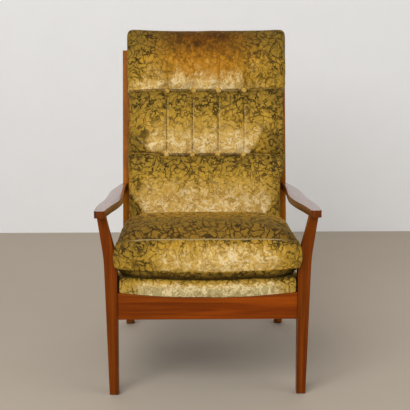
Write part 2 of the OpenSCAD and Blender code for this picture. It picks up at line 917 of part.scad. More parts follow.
// A wire along a flat line of points
module wire(points, d) {
    last = len(points) - 1;
    skin([
        for (i = [0:last]) let (
            way = points[min(i + 1, last)] - points[max(i - 1, 0)],
            t = way / norm(way)
        ) [
            for (k = [0:wire_sides - 1]) let (a = 360 * k / wire_sides)
                [
                    points[i][0] - t[1] * d / 2 * cos(a),
                    points[i][1] + t[0] * d / 2 * cos(a),
                    d / 2 * sin(a)
                ]
        ]
    ], paired_cap(wire_sides));
}

// Runs its children at the front end of each spring, in the seat's plane
module at_springs() {
    seat_frame() for (i = [0:spring_count - 1])
        translate([(i - (spring_count - 1) / 2) * spring_gap, spring_run0, spring_z]) children();
}

module seat_springs() {
    color(steel) placed() at_springs() wire(zigzag_points, wire_d);
}

// Clips over each spring's end bars, standing on the battens
module spring_clips() {
    low = -wire_d / 2 - joint_gap;
    color(steel) placed() at_springs() for (y = [0, spring_len])
        translate([0, y, 0]) difference() {
            block([-clip_w / 2, -clip_l / 2, low], [clip_w / 2, clip_l / 2, wire_d / 2]);
            translate([-clip_w, 0, 0]) rotate([0, 90, 0]) bore(wire_d + joint_gap, 2 * clip_w);
        }
}

// Half width of the platform at a depth: between the legs, then the side rails
leg_clear_y = leg_d + soft_gap;
function platform_half(y) =
    y <= leg_clear_y ? leg_in_x - platform_in : side_inner(y) - soft_gap;

module seat_hessian() {
    y0 = rail_y1 + end_gap;
    y1 = platform_end - end_gap;
    points = [
        for (y = [y0, leg_clear_y, leg_clear_y + end_gap, y1])
            [platform_half(y) - end_gap, seat_run(y, hessian_z)]
    ];
    color(jute) placed() seat_frame() translate([0, 0, hessian_z - hessian_t])
        linear_extrude(hessian_t) polygon([
            each points,
            for (i = [len(points) - 1:-1:0]) [-points[i][0], points[i][1]]
        ]);
}

// How far the platform's top dips at its middle, fading out to the rear
function dip_at(y) = let (t = min(1, max(0, (y - platform_y) / platform_dip_l)))
    platform_dip * (1 - t * t * (3 - 2 * t));

// Drop of the rounded front edge at a distance behind the front face
function roll_at(y) = y >= roll_r ? 0 : roll_r - sqrt(roll_r * roll_r - pow(roll_r - y, 2));

// A ring of the platform's form, across x
function platform_ring(y) = let (half = platform_half(y)) [
    for (i = [0:platform_steps]) let (x = half * (1 - 2 * i / platform_steps))
        [x, y, y <= lip_y ? rail_edge(x) + soft_gap : seat_height(y, pad_z)],
    for (i = [0:platform_steps]) let (u = 2 * i / platform_steps - 1)
        [half * u, y, seat_height(y, -dip_at(y) * (1 - u * u) - roll_at(y - platform_y))]
];

// The padded cover, with a lip in front that stands on the front rail
lip_y = rail_y1 - end_gap;
front_shares = [0, 0.134, 0.5, 1];
rear_shares = [0.10, 0.22, 0.40, 1];
module platform_cover() {
    color(velvet_pale) placed() difference() {
        skin([
            for (y = [
                for (k = front_shares) platform_y + k * roll_r,
                lip_y,
                rail_y1,
                leg_clear_y,
                leg_clear_y + end_gap,
                for (k = rear_shares) lerp(leg_clear_y, platform_end, k)
            ]) platform_ring(y)
        ], paired_cap(2 * platform_steps + 2));
        pad_slab(soft_gap);
    }
}

module pad_slab(grow) {
    z = pad_z + pad_slab_in / 2;
    points = [
        for (y = [leg_clear_y + pad_slab_in, platform_end - pad_slab_in])
            [platform_half(y) - pad_slab_in, y]
    ];
    seat_frame() translate([0, 0, z - grow]) linear_extrude(pad_slab_t + 2 * grow) polygon([
        [points[0][0] + grow, seat_run(points[0][1], z) - grow],
        [points[1][0] + grow, seat_run(points[1][1], z) + grow],
        [-points[1][0] - grow, seat_run(points[1][1], z) + grow],
        [-points[0][0] - grow, seat_run(points[0][1], z) - grow]
    ]);
}

module platform_pad() {
    color(foam_cream) placed() pad_slab(0);
}

// Cloth over the underside of the rails, notched round the legs
module dust_cover() {
    points = [
        [leg_in_x - dust_in, (rail_y0 + rail_y1) / 2 - tack_d],
        [leg_in_x - dust_in, leg_d + dust_in],
        [lerp(side_front_x, side_rear_x, dust_in / seat_d) + tack_d, leg_d + dust_in],
        [side_rear_x + tack_d, seat_d - dust_in],
        [back_inner_x - dust_in, seat_d - dust_in],
        [back_inner_x - dust_in, rear_rail_y + back_rail_t / 2 + tack_d]
    ];
    color(black_cloth) placed() difference() {
        translate([0, 0, rail_z0 - dust_t]) linear_extrude(dust_t) polygon([
            each points,
            for (i = [len(points) - 1:-1:0]) [-points[i][0], points[i][1]]
        ]);
        dust_tacks(joint_gap);
    }
}

// Seat cushion

cushion_front = -cushion_overhang + cushion_bulge;
cushion_rear = seat_run(
    on_back(-pad_side_t, pad_bottom)[0] - cushion_rear_gap,
    cushion_z + cushion_border
) - cushion_bulge;
cushion_mid = (cushion_front + cushion_rear) / 2;
cushion_half = seat_w / 2 - cushion_side_gap - cushion_bulge;
cushion_rear_half = cushion_half - cushion_taper / 2;
cushion_half_d = (cushion_rear - cushion_front) / 2;

function corner_arc(centre, start) = [
    for (a = [0:corner_step:90])
        centre + cushion_corner_r * [cos(start + a), sin(start + a)]
];

// Points between two corners, drawn in towards the cushion's middle
function drawn_side(a, b, pull) = let (d = (b - a) / norm(b - a)) [
    for (i = [1:side_steps - 1]) let (t = i / side_steps)
        lerp(a, b, t) + pull * sin(180 * t) * [-d[1], d[0]]
];

// Plan of the cushion about its middle, its sides drawn in by pull
function cushion_plan(pull) = let (
    fx = cushion_half - cushion_corner_r,
    rx = cushion_rear_half - cushion_corner_r,
    y = cushion_half_d - cushion_corner_r,
    a = corner_arc([fx, -y], -90),
    b = corner_arc([rx, y], 0),
    c = corner_arc([-rx, y], 90),
    d = corner_arc([-fx, -y], 180),
    last = len(a) - 1
) [
    each a, each drawn_side(a[last], b[0], pull),
    each b, each drawn_side(b[last], c[0], pull),
    each c, each drawn_side(c[last], d[0], pull),
    each d, each drawn_side(d[last], a[0], pull)
];

// The plan at a share of its size and at height z, rounder towards the middle
function cushion_ring(k, z) =
    [for (p = cushion_plan(cushion_pull * (2 * k - 1))) [p[0] * k, p[1] * k, z]];

module cushion_frame() {
    seat_frame() translate([0, cushion_mid, cushion_z]) children();
}

module foam_slab(grow) {
    front = cushion_half - cushion_foam_in + grow;
    rear = cushion_rear_half - cushion_foam_in + grow;
    depth = cushion_half_d - cushion_foam_in + grow;
    cushion_frame() translate([0, 0, (cushion_border - cushion_foam_t) / 2 - grow])
        linear_extrude(cushion_foam_t + 2 * grow)
            polygon([[-front, -depth], [front, -depth], [rear, depth], [-rear, depth]]);
}

module seat_cushion_foam() {
    color(foam_cream) placed() foam_slab(0);
}

module seat_cushion_cover() {
    last = len(crown_shares) - 1;
    color(velvet) placed() difference() {
        cushion_frame() skin([
            for (i = [last:-1:0])
                cushion_ring(crown_shares[i][0], -cushion_crown * crown_shares[i][1]),
            for (p = border_shares)
                cushion_ring(1 + cushion_bulge * p[1] / cushion_half, cushion_border * p[0]),
            for (i = [0:last])
                cushion_ring(crown_shares[i][0], cushion_border + cushion_crown * crown_shares[i][1])
        ], paired_cap(len(cushion_plan(0))));
        foam_slab(soft_gap);
    }
}

// Back cushion

button_shares = [-1.5, -0.5, 0.5, 1.5];
button_x = [for (k = button_shares) k * button_pitch];

// Rise of the cushion's face over its side thickness, at s up the back
function pad_rise(s) =
    s <= button_row_s[0]
    ? lumbar_rise * table_at(lumbar_shares, (s - pad_bottom) / (button_row_s[0] - pad_bottom), 1)
    : s <= button_row_s[1]
    ? flute_rise * table_at(flute_shares, (s - button_row_s[0]) / (button_row_s[1] - button_row_s[0]), 1)
    : head_rise * table_at(head_shares, (s - button_row_s[1]) / (pad_top - button_row_s[1]), 1);

// Depth of the nearest groove between the flutes
function groove_at(x, s) =
    s <= button_row_s[0] || s >= button_row_s[1] ? 0
    : groove_depth * max([for (c = button_x) 1 - min(1, abs(x - c) / groove_reach)]);

// Height of the pit round the nearest button
function pit_at(x, s) = pit_floor + min([
    for (c = button_x) for (r = button_row_s)
        max(0, max(abs(x - c), abs(s - r)) - button_d / 2 - end_gap)
]);

// Half width of the cushion, with its round corners and drawn-in sides
function pad_half(s) = let (
    d = max(0, pad_corner_r - min(s - pad_bottom, pad_top - s)),
    t = (s - pad_bottom) / (pad_top - pad_bottom)
) pad_w / 2 - pad_corner_r + sqrt(pad_corner_r * pad_corner_r - d * d) - pad_waist * sin(180 * t);

function pad_face(x, s) = let (u = abs(x) / pad_half(s)) min(
    pit_at(x, s),
    pad_side_t + pad_rise(s) * (1 - pow(u, pad_cross_power)) - groove_at(x, s)
) - pad_edge_drop * pow(u, pad_edge_power);

// Lines of points from the middle to the right edge, at s up the back
function pad_lines(s) = let (
    pit = button_d / 2 + end_gap,
    lip = pit + pit_reach,
    last = max(button_x) + lip
) [
    0,
    for (x = button_x) if (x > 0) each [x - lip, x - pit, x, x + pit, x + lip],
    for (k = side_line_shares) lerp(last, pad_half(s), k)
];

function pad_ring(s) = let (lines = pad_lines(s), last = len(lines) - 1) [
    for (i = [last:-1:1]) [-lines[i], -pad_face(lines[i], s), s],
    for (i = [0:last]) [lines[i], -pad_face(lines[i], s), s],
    [lines[last], 0, s],
    [-lines[last], 0, s]
];

// Triangles that close a ring, fanned out from its two corners at the back
function pad_cap(n) = let (mid = (n - 3) / 2) [
    for (i = [0:mid - 1]) [n - 1, i, i + 1],
    [n - 1, mid, n - 2],
    for (i = [mid:n - 4]) [n - 2, i, i + 1]
];

// Heights of the rings: along each roll, and close together at the buttons
function button_rows(r) = let (pit = button_d / 2 + end_gap, lip = pit + pit_reach)
    [r - lip, r - pit, r, r + pit, r + lip];
pad_rows = [
    for (k = low_row_shares) lerp(pad_bottom, button_row_s[0], k),
    each button_rows(button_row_s[0]),
    for (k = flute_row_shares) lerp(button_row_s[0], button_row_s[1], k),
    each button_rows(button_row_s[1]),
    for (k = high_row_shares) lerp(button_row_s[1] + button_d / 2 + pit_reach + end_gap, pad_top, k)
];

module back_foam_slab(grow) {
    back_frame() translate([0, -soft_gap, 0]) block(
        [-pad_w / 2 + pad_foam_in - grow, -pad_foam_back - pad_foam_t - grow, pad_bottom + pad_foam_in - grow],
        [pad_w / 2 - pad_foam_in + grow, -pad_foam_back + grow, pad_top - pad_foam_in + grow]
    );
}

// Runs its children at each button, z pointing back through the cushion
module at_buttons() {
    back_frame() for (x = button_x) for (s = button_row_s)
        translate([x, 0, s]) rotate([-90, 0, 0]) children();
}

module tie_holes(steps) {
    at_buttons() translate([0, 0, -big / 2])
        cylinder(d = tie_d + 2 * soft_gap, h = big, $fn = steps);
}

module back_cushion_foam() {
    color(foam_cream) placed() difference() {
        back_foam_slab(0);
        tie_holes(round_steps);
    }
}

module back_cushion_cover() {
    color(velvet) placed() difference() {
        back_frame() translate([0, -soft_gap, 0])
            skin([for (s = pad_rows) pad_ring(s)], pad_cap(len(pad_ring(pad_bottom))));
        back_foam_slab(soft_gap);
        tie_holes(tie_sides);
    }
}

// Face of a button's back, on the floor of its pit
button_n = pit_floor + 2 * soft_gap;

module back_buttons() {
    dome_r = (pow(button_d / 2, 2) + pow(button_h - button_rim_h, 2)) / (2 * (button_h - button_rim_h));
    dome_a = asin(button_d / 2 / dome_r);
    color(velvet_pale) placed() at_buttons() translate([0, 0, -button_n]) rotate([180, 0, 0])
        rotate_extrude($fn = round_steps) polygon([
            [0, 0],
            [button_d / 2, 0],
            for (i = [0:curve_steps / 2])
                let (a = dome_a * (1 - 2 * i / curve_steps))
                [dome_r * sin(a), button_h - dome_r + dome_r * cos(a)]
        ]);
}

// Ties from the buttons to toggles behind the webbing
module button_ties() {
    color(jute) placed() at_buttons() {
        translate([0, 0, -button_n]) bore(tie_d, button_n + layer_recess + toggle_h);
        translate([0, 0, layer_recess + joint_gap]) bore(toggle_d, toggle_h);
    }
}

module back_webbing() {
    color(jute) placed() difference() {
        back_frame() for (x = button_x) block(
            [x - web_w / 2, layer_recess - web_t, lower_rail_s],
            [x + web_w / 2, layer_recess, top_rail_s + back_rail_h]
        );
        tie_holes(round_steps);
        web_tacks(joint_gap);
    }
}

module back_hessian() {
    half = back_inner_x - back_hessian_in;
    color(jute) placed() difference() {
        back_frame() block(
            [-half, 0, lower_rail_s],
            [half, hessian_t, top_rail_s + back_rail_h]
        );
        tie_holes(round_steps);
    }
}

module outside_back() {
    half = back_inner_x - joint_gap;
    color(velvet) placed() difference() {
        back_frame() block(
            [-half, outside_n, lower_rail_s],
            [half, outside_n + outside_t, top_rail_s + back_rail_h]
        );
        outside_tacks(joint_gap);
    }
}

mirror([1, 0, 0]) front_leg();  // front_leg_left
front_leg();  // front_leg_right
mirror([1, 0, 0]) back_leg();  // back_leg_left
back_leg();  // back_leg_right
mirror([1, 0, 0]) arm();  // arm_left
arm();  // arm_right
front_rail();
mirror([1, 0, 0]) side_rail();  // side_rail_left
side_rail();  // side_rail_right
rear_rail();
back_top_rail();
back_lower_rail();
rail_dowels();
front_batten();
rear_batten();
side_battens();
corner_blocks();
corner_block_screws();
arm_screws();
arm_plugs();
foot_glides();
seat_springs();
spring_clips();
seat_hessian();
platform_pad();
platform_cover();
dust_cover();
dust_cover_tacks();
seat_cushion_foam();
seat_cushion_cover();
back_webbing();
webbing_tacks();
back_hessian();
back_cushion_foam();
back_cushion_cover();
back_buttons();
button_ties();
outside_back();
outside_back_tacks();
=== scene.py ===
"""Looks of a high-back fireside chair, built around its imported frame."""

import math

import bmesh
import bpy
import numpy as np
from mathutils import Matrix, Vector, noise
from mathutils.kdtree import KDTree


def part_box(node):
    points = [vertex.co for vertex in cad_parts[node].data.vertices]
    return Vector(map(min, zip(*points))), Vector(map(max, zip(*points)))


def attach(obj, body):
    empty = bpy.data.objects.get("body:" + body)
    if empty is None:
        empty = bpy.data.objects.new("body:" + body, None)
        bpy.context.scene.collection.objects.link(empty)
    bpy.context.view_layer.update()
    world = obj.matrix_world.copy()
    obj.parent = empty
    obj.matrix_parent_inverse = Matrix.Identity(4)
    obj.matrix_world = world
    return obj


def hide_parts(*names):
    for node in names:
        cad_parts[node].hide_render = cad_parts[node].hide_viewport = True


bl_info = {
    "name": "Fireside Chair",
    "version": (1, 0, 0),
    "blender": (4, 5, 0),
    "location": "3D View > Sidebar > Chair",
    "description": "Polished frame, velvet cushions and a plain studio for a fireside chair",
    "category": "Object",
}

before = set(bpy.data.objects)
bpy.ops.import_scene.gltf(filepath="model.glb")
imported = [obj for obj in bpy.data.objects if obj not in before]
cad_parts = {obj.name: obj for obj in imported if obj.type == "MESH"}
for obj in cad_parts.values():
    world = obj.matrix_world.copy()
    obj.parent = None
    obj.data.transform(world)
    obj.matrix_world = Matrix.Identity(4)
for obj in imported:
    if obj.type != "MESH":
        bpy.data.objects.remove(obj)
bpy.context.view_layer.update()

FRAME_BODY = "frame"
CUSHION_BODY = "seat_cushion"

# Places of the frame that the soft pieces follow, in metres and radians
MID_Y = 0.3309
SEAT_SLOPE = math.radians(7)
SEAT_ORIGIN = Vector((0, 0.004 - MID_Y, 0.357))
RAKE = math.radians(16)
BACK_ORIGIN = Vector((0, 0.494 - MID_Y, 0.315))
BUTTON_PITCH = 0.082
BUTTON_ROWS = (0.2842, 0.4905)
BUTTON_X = tuple(BUTTON_PITCH * k for k in (-1.5, -0.5, 0.5, 1.5))
# Depth of the buttons' seats in front of the back's plane
PIT_FLOOR = 0.072
# Points closer than this become one
MERGE = 0.00001


# Sizes and colours that a user would change


def colour(name, description, default):
    return bpy.props.FloatVectorProperty(
        name=name, description=description, default=default, size=4, min=0, max=1, subtype="COLOR"
    )


def number(name, description, default, low, high, **kind):
    return bpy.props.FloatProperty(name=name, description=description, default=default, min=low, max=high, **kind)


def length(name, description, default, low=0.0, high=1.0):
    return number(name, description, default, low, high, unit="LENGTH")


def share(name, description, default):
    return number(name, description, default, 0.0, 1.0, subtype="FACTOR")


def power(name, description, default):
    return number(name, description, default, 0.0, 1000.0, unit="POWER")


class ChairWood(bpy.types.PropertyGroup):
    """Polished and plain timber"""

    light: colour("Light grain", "Colour of the early wood", (0.370, 0.078, 0.003, 1))
    dark: colour("Dark grain", "Colour of the late wood", (0.170, 0.028, 0.001, 1))
    pore: colour("Pores", "Colour of the stain caught in the pores", (0.050, 0.010, 0.001, 1))
    plain: colour("Plain timber", "Colour of the unpolished inner battens", (0.480, 0.300, 0.150, 1))
    gloss: share("Varnish roughness", "How matt the varnish is", 0.16)
    round_over: length("Edge rounding", "Radius of the sanded edges", 0.0042, high=0.01)
    arm_round: length("Arm rounding", "Radius of the arms' edges", 0.0045, high=0.009)


class ChairVelvet(bpy.types.PropertyGroup):
    """Cut velvet with a fine vein pattern"""

    # Shade, gold and cream, and worn gold in shade, worn gold and cream, paint the velvet's light and shade:
    # shaded, half-lit and lit copies of one colour
    shade: colour("Shaded nap", "Colour where the pile turns from the light", (0.265, 0.158, 0.020, 1))
    gold: colour("Gold", "Colour of the pile seen straight on", (0.535, 0.315, 0.036, 1))
    cream: colour("Bright nap", "Colour where the pile catches the light", (0.780, 0.530, 0.170, 1))
    worn: colour("Worn gold", "Colour where heads have rubbed the pile", (0.500, 0.210, 0.012, 1))
    worn_dark: colour("Worn gold in shade", "The same where the pile turns away", (0.100, 0.030, 0.002, 1))
    vein: colour("Veins", "Colour of the low-cut lines", (0.030, 0.018, 0.004, 1))
    vein_lit: colour("Veins in the light", "The same where the pile is bright", (0.300, 0.165, 0.030, 1))
    # Painted highlight: the colour of the pale squiggles in the light and of the highlights along seams and folds
    painted_highlight: colour("Bright threads", "Colour of the palest lines and seams", (0.860, 0.700, 0.380, 1))
    cell: length("Figure size", "Distance between neighbouring veins", 0.0195, 0.005, 0.06)
    flower: length("Flower size", "Distance between neighbouring flowers", 0.062, 0.03, 0.2)
    # A paler colour for the pile low on the platform's front, mixed in where the painted light is bright
    pale_front: colour("Faded nap", "Colour of the pile on the platform's front", (0.520, 0.445, 0.215, 1))
    sheen: share("Sheen", "Strength of the pile's soft shine", 0.14)


class ChairCushions(bpy.types.PropertyGroup):
    """Fill and seams of the cushions"""

    seat_fill: share("Seat fill", "How tight the seat cushion is filled", 0.75)
    back_fill: share("Back fill", "How tight the back cushion is filled", 0.7)
    crease: length("Crease", "Depth of the sewn creases", 0.006, 0.0, 0.012)
    puff_cap: length("Puff limit", "How far the filling may move a point", 0.007, 0.0, 0.03)


class ChairStage(bpy.types.PropertyGroup):
    """Floor, backdrop and light"""

    floor: colour("Floor", "Colour of the floor", (0.445, 0.380, 0.305, 1))
    wall: colour("Wall", "Colour of the backdrop", (0.94, 0.95, 0.965, 1))
    wall_y: length("Wall distance", "Place of the backdrop behind the chair", 1.457, 0.8, 5.0)
    key_light: power("Key light", "Power of the soft light in front", 106)
    fill_light: power("Fill light", "Power of the light from the right", 19)


# Helpers


def deselect():
    bpy.ops.object.select_all(action="DESELECT")


def activate(piece):
    deselect()
    piece.select_set(True)
    bpy.context.view_layer.objects.active = piece


def linked(name, mesh):
    piece = bpy.data.objects.new(name, mesh)
    bpy.context.scene.collection.objects.link(piece)
    return piece


def read(items, key, size=3, kind=float):
    """One property of all the items of a mesh, a row for each."""
    found = np.empty(len(items) * size, dtype=kind)
    items.foreach_get(key, found)
    return found.reshape(-1, size)


def points_of(piece):
    return read(piece.data.vertices, "co")


def normals_of(piece):
    return read(piece.data.vertices, "normal")


def set_points(piece, co):
    piece.data.vertices.foreach_set("co", np.ascontiguousarray(co).ravel())
    piece.data.update()


def added(name, primitive, **settings):
    """A primitive under its name."""
    deselect()
    primitive(**settings)
    piece = bpy.context.view_layer.objects.active
    piece.name = piece.data.name = name
    return piece


def dress(piece, *materials):
    """Gives a piece its materials and no others."""
    piece.data.materials.clear()
    for material in materials:
        piece.data.materials.append(material)


def smoothed(piece, values, rounds):
    """Values at the vertices, averaged over their neighbours."""
    a, b = read(piece.data.edges, "vertices", 2, np.int64).T
    count = np.bincount(a, minlength=len(values)) + np.bincount(b, minlength=len(values))
    for _ in range(rounds):
        total = np.bincount(a, values[b], len(values)) + np.bincount(b, values[a], len(values))
        values = 0.5 * values + 0.5 * total / np.maximum(count, 1)
    return values


def store(piece, name, values):
    attribute = piece.data.attributes.get(name) or piece.data.attributes.new(name, "FLOAT", "POINT")
    attribute.data.foreach_set("value", np.asarray(values, dtype=np.float32))


def ease(low, high, value):
    """A soft step from zero at low to one at high."""
    t = np.clip((value - low) / (high - low), 0, 1)
    return t * t * (3 - 2 * t)


def within(low, high, soft, value):
    """One between two limits, falling to zero towards each."""
    return ease(low, low + soft, value) * ease(high, high - soft, value)


def bell(value, width, power=2):
    """One at zero, falling off on both sides."""
    return np.exp(-(np.abs(value) / width)**power)


def corner(near, radius):
    """How far a round corner cuts in, near being the distance from its end."""
    inside = np.clip(radius - near, 0, radius)
    return radius - np.sqrt(np.maximum(radius**2 - inside**2, 0))


def waves(co, scale, seed):
    """Smooth noise at points, from -1 to 1."""
    offset = Vector((seed, 2 * seed, -seed))
    return np.array([noise.noise(Vector(p) * scale + offset) for p in co])


def tilted(origin, angle):
    """Functions that place points along and over a tilted plane, and that read them back."""
    cos, sin = math.cos(angle), math.sin(angle)

    def place(x, a, b):
        x, a, b = np.broadcast_arrays(x, a, b)
        return np.stack([x, origin.y + a * cos + b * sin, origin.z - a * sin + b * cos], axis=-1)

    def read_back(co):
        y, z = co[:, 1] - origin.y, co[:, 2] - origin.z
        return co[:, 0], y * cos - z * sin, y * sin + z * cos

    return place, read_back


# x, n behind the back legs' front faces, and s up the back
on_back, from_back = tilted(BACK_ORIGIN, RAKE)
# x, v down the seat's slope, and w over its plane
on_seat, from_seat = tilted(SEAT_ORIGIN, SEAT_SLOPE)


def spaced(low, high, count, edge, edge_count):
    """Stations from low to high, closer together near both ends."""
    near = edge * (1 - np.cos(np.linspace(0, math.pi / 2, edge_count + 1)))
    first = low + near
    last = high - near[::-1]
    return np.concatenate([first, np.linspace(low + edge, high - edge, count + 2)[1:-1], last])


def quads_of(grid):
    """Faces of a grid of vertex numbers."""
    return np.stack([grid[:-1, :-1], grid[:-1, 1:], grid[1:, 1:], grid[1:, :-1]], -1).reshape(-1, 4)


def border(grid):
    """The border of a grid, once round."""
    return np.concatenate([grid[0, :-1], grid[:-1, -1], grid[-1, :0:-1], grid[:0:-1, 0]])


def turned_out(piece):
    """Merges a piece's doubled points, turns its faces outwards and shades it smooth."""
    activate(piece)
    bpy.ops.object.mode_set(mode="EDIT")
    bpy.ops.mesh.select_all(action="SELECT")
    bpy.ops.mesh.remove_doubles(threshold=MERGE)
    bpy.ops.mesh.normals_make_consistent(inside=False)
    if bmesh.from_edit_mesh(piece.data).calc_volume(signed=True) < 0:
        bpy.ops.mesh.flip_normals()
    bpy.ops.object.mode_set(mode="OBJECT")
    bpy.ops.object.shade_smooth()


def boxed(name, upper, rows, lower):
    """A closed piece from two grids of points and the loops between their borders."""
    parts = [upper.reshape(-1, 3), *rows, lower.reshape(-1, 3)]
    starts = np.cumsum([0] + [len(p) for p in parts])
    numbers = np.arange(len(parts[0])).reshape(upper.shape[:2])
    loops = [border(numbers)]
    loops += [np.arange(len(r)) + starts[i + 1] for i, r in enumerate(rows)]
    loops += [border(numbers) + starts[-2]]
    faces = [quads_of(numbers)[:, ::-1], quads_of(numbers + starts[-2])]
    for a, b in zip(loops, loops[1:]):
        faces.append(np.stack([a, np.roll(a, -1), np.roll(b, -1), b], -1))
    mesh = bpy.data.meshes.new(name)
    mesh.from_pydata(np.concatenate(parts).tolist(), [], np.concatenate(faces).tolist())
    piece = linked(name, mesh)
    turned_out(piece)
    return piece


def modified(piece, kind, **settings):
    """Applies a modifier to a piece."""
    activate(piece)
    made = piece.modifiers.new(kind.title(), kind)
    for key, value in settings.items():
        setattr(made, key, value)
    bpy.ops.object.modifier_apply(modifier=made.name)


# How the cushions' covers behave while they are filled
COVER = {
    "quality": 6, "mass": 0.3, "tension_stiffness": 18, "compression_stiffness": 18, "shear_stiffness": 6,
    "bending_stiffness": 1.5, "air_damping": 2, "use_pressure": True, "uniform_pressure_force": 1.6,
    "shrink_min": -0.02,
}
FILLING_FRAMES = 20


def puffed(piece, pinned, cap):
    """Fills a piece as cloth under pressure, with its pinned points held."""
    before = points_of(piece)
    activate(piece)
    group = piece.vertex_groups.new(name="held")
    for value in np.unique(pinned):
        if value > 0:
            group.add(np.flatnonzero(pinned == value).tolist(), float(value), "REPLACE")
    cloth = piece.modifiers.new("Cloth", "CLOTH")
    for key, value in COVER.items():
        setattr(cloth.settings, key, value)
    cloth.settings.vertex_group_mass = group.name
    cloth.settings.effector_weights.gravity = 0
    cloth.collision_settings.use_collision = False
    cloth.point_cache.frame_start, cloth.point_cache.frame_end = 1, FILLING_FRAMES
    scene = bpy.context.scene
    for step in range(1, FILLING_FRAMES + 1):
        scene.frame_set(step)
    settled = piece.evaluated_get(bpy.context.evaluated_depsgraph_get())
    after = points_of(settled)
    piece.modifiers.remove(cloth)
    piece.vertex_groups.remove(group)
    scene.frame_set(1)
    move = after - before
    far = np.linalg.norm(move, axis=1)
    move *= (cap * np.tanh(far / cap) / np.maximum(far, 1e-9))[:, None]
    set_points(piece, before + move)


# Materials

AXES = {"x": (1, 0, 0), "y": (0, 1, 0), "z": (0, 0, 1)}


def shaded(tint, amount):
    """A colour times one amount, or times an amount for each channel."""
    return tuple((np.array(tint[:3]) * amount).tolist()) + (1,)


class Nodes:
    """The shader nodes of a new material."""

    def __init__(self, name):
        self.material = bpy.data.materials.new(name)
        self.material.use_nodes = True
        self.tree = self.material.node_tree
        self.tree.nodes.clear()

    def put(self, kind, values=None, **settings):
        """A node with its settings, and its inputs linked or set."""
        made = self.tree.nodes.new("ShaderNode" + kind)
        for key, value in settings.items():
            setattr(made, key, value)
        for key, value in (values or {}).items():
            if isinstance(value, bpy.types.NodeSocket):
                self.tree.links.new(value, made.inputs[key])
            else:
                made.inputs[key].default_value = value
        return made

    def math(self, operation, a, b=0.0):
        return self.put("Math", {0: a, 1: b}, operation=operation).outputs[0]

    def plus(self, a, b):
        return self.math("ADD", a, b)

    def minus(self, a, b):
        return self.math("SUBTRACT", a, b)

    def times(self, a, b):
        return self.math("MULTIPLY", a, b)

    def larger(self, a, b):
        return self.math("MAXIMUM", a, b)

    def off_half(self, value):
        """Distance from one half, which is small along the contours of a noise."""
        return self.math("ABSOLUTE", self.minus(value, 0.5))

    def vector(self, operation, a, b):
        return self.put("VectorMath", {0: a, 1: b}, operation=operation).outputs[0]

    def mixed(self, factor, a, b, blend="MIX"):
        return self.put("Mix", {0: factor, 6: a, 7: b}, data_type="RGBA", blend_type=blend).outputs[2]

    def ranged(self, value, low, high, to_low=0.0, to_high=1.0):
        values = {"Value": value, "From Min": low, "From Max": high, "To Min": to_low, "To Max": to_high}
        return self.put("MapRange", values, interpolation_type="SMOOTHSTEP").outputs[0]

    def place(self, scale=(1, 1, 1), turn=(0, 0, 0)):
        """Object coordinates, turned and scaled."""
        place = self.put("TexCoord").outputs["Object"]
        return self.put("Mapping", {"Vector": place, "Rotation": turn, "Scale": scale}).outputs[0]

    def noise(self, vector, scale, detail=2.0, rough=0.5, twist=0.0):
        values = {"Vector": vector, "Scale": scale, "Detail": detail, "Roughness": rough, "Distortion": twist}
        return self.put("TexNoise", values).outputs["Fac"]

    def bump(self, height, strength, distance):
        return self.put("Bump", {"Height": height, "Strength": strength, "Distance": distance}).outputs[0]

    def principled(self, values):
        return self.put("BsdfPrincipled", values).outputs[0]

    def finish(self, surface):
        self.put("OutputMaterial", {"Surface": surface})
        return self.material


def timber(name, along, light, dark, pore, gloss, coat, turn=(0, 0, 0)):
    """Wood whose grain runs along an axis."""
    n = Nodes(name)
    run = np.array(AXES[along])

    def grained(across, down, detail, rough, twist=0.0):
        """Noise drawn out along the grain."""
        scale = tuple((across * (1 - run) + down * run).tolist())
        return n.noise(n.place(scale, turn), 1.0, detail, rough, twist)

    rings = grained(30, 1.7, 3.0, 0.45, 1.2)
    streak = grained(240, 6.0, 3.0, 0.6)
    pores = n.ranged(grained(900, 26, 2.0, 0.7), 0.60, 0.74)
    cloudy = n.ranged(grained(7, 3.0, 2.0, 0.5), 0.30, 0.72, 0.74, 1.12)
    body = n.plus(n.times(rings, 0.62), n.times(streak, 0.38))
    grey = n.put("CombineColor", {key: cloudy for key in ("Red", "Green", "Blue")}).outputs[0]
    base = n.mixed(1.0, n.mixed(n.ranged(body, 0.34, 0.66), dark, light), grey, "MULTIPLY")
    return n.finish(n.principled({
        "Base Color": n.mixed(n.times(pores, 0.45), base, pore),
        "Roughness": n.ranged(streak, 0.3, 0.7, gloss + 0.20, gloss + 0.34),
        "Normal": n.bump(n.minus(streak, pores), 0.10, 0.0004),
        "Coat Weight": coat, "Coat Roughness": gloss, "Coat IOR": 1.5 + 0.2 * coat,
        "Specular IOR Level": 0.4, "Specular Tint": (1.0, 0.45, 0.12, 1)}))


def metal(name, tint, rough):
    """Bright or blued steel with fine marks."""
    n = Nodes(name)
    marks = n.noise(n.place(), 900.0, 3.0)
    return n.finish(n.principled({
        "Base Color": n.mixed(n.ranged(marks, 0.3, 0.7), tint, shaded(tint, 0.75)),
        "Metallic": 1.0, "Roughness": n.ranged(marks, 0.3, 0.7, rough - 0.08, rough + 0.10)}))


def woven(name, tint, dark, pitch):
    """A plain weave such as jute or lining."""
    n = Nodes(name)
    place = n.place()
    warp, weft = (
        n.put("TexWave", {"Vector": place, "Scale": 1 / pitch, "Distortion": 0.6, "Detail": 1.0},
              wave_type="BANDS", bands_direction=way).outputs["Fac"]
        for way in ("X", "Z"))
    weave = n.times(warp, weft)
    fluff = n.times(n.noise(place, 300.0, 3.0), 0.4)
    return n.finish(n.principled({
        "Base Color": n.mixed(n.ranged(n.plus(weave, fluff), 0.1, 0.9), dark, tint),
        "Roughness": 0.92, "Normal": n.bump(weave, 0.4, 0.0006), "Specular IOR Level": 0.15}))


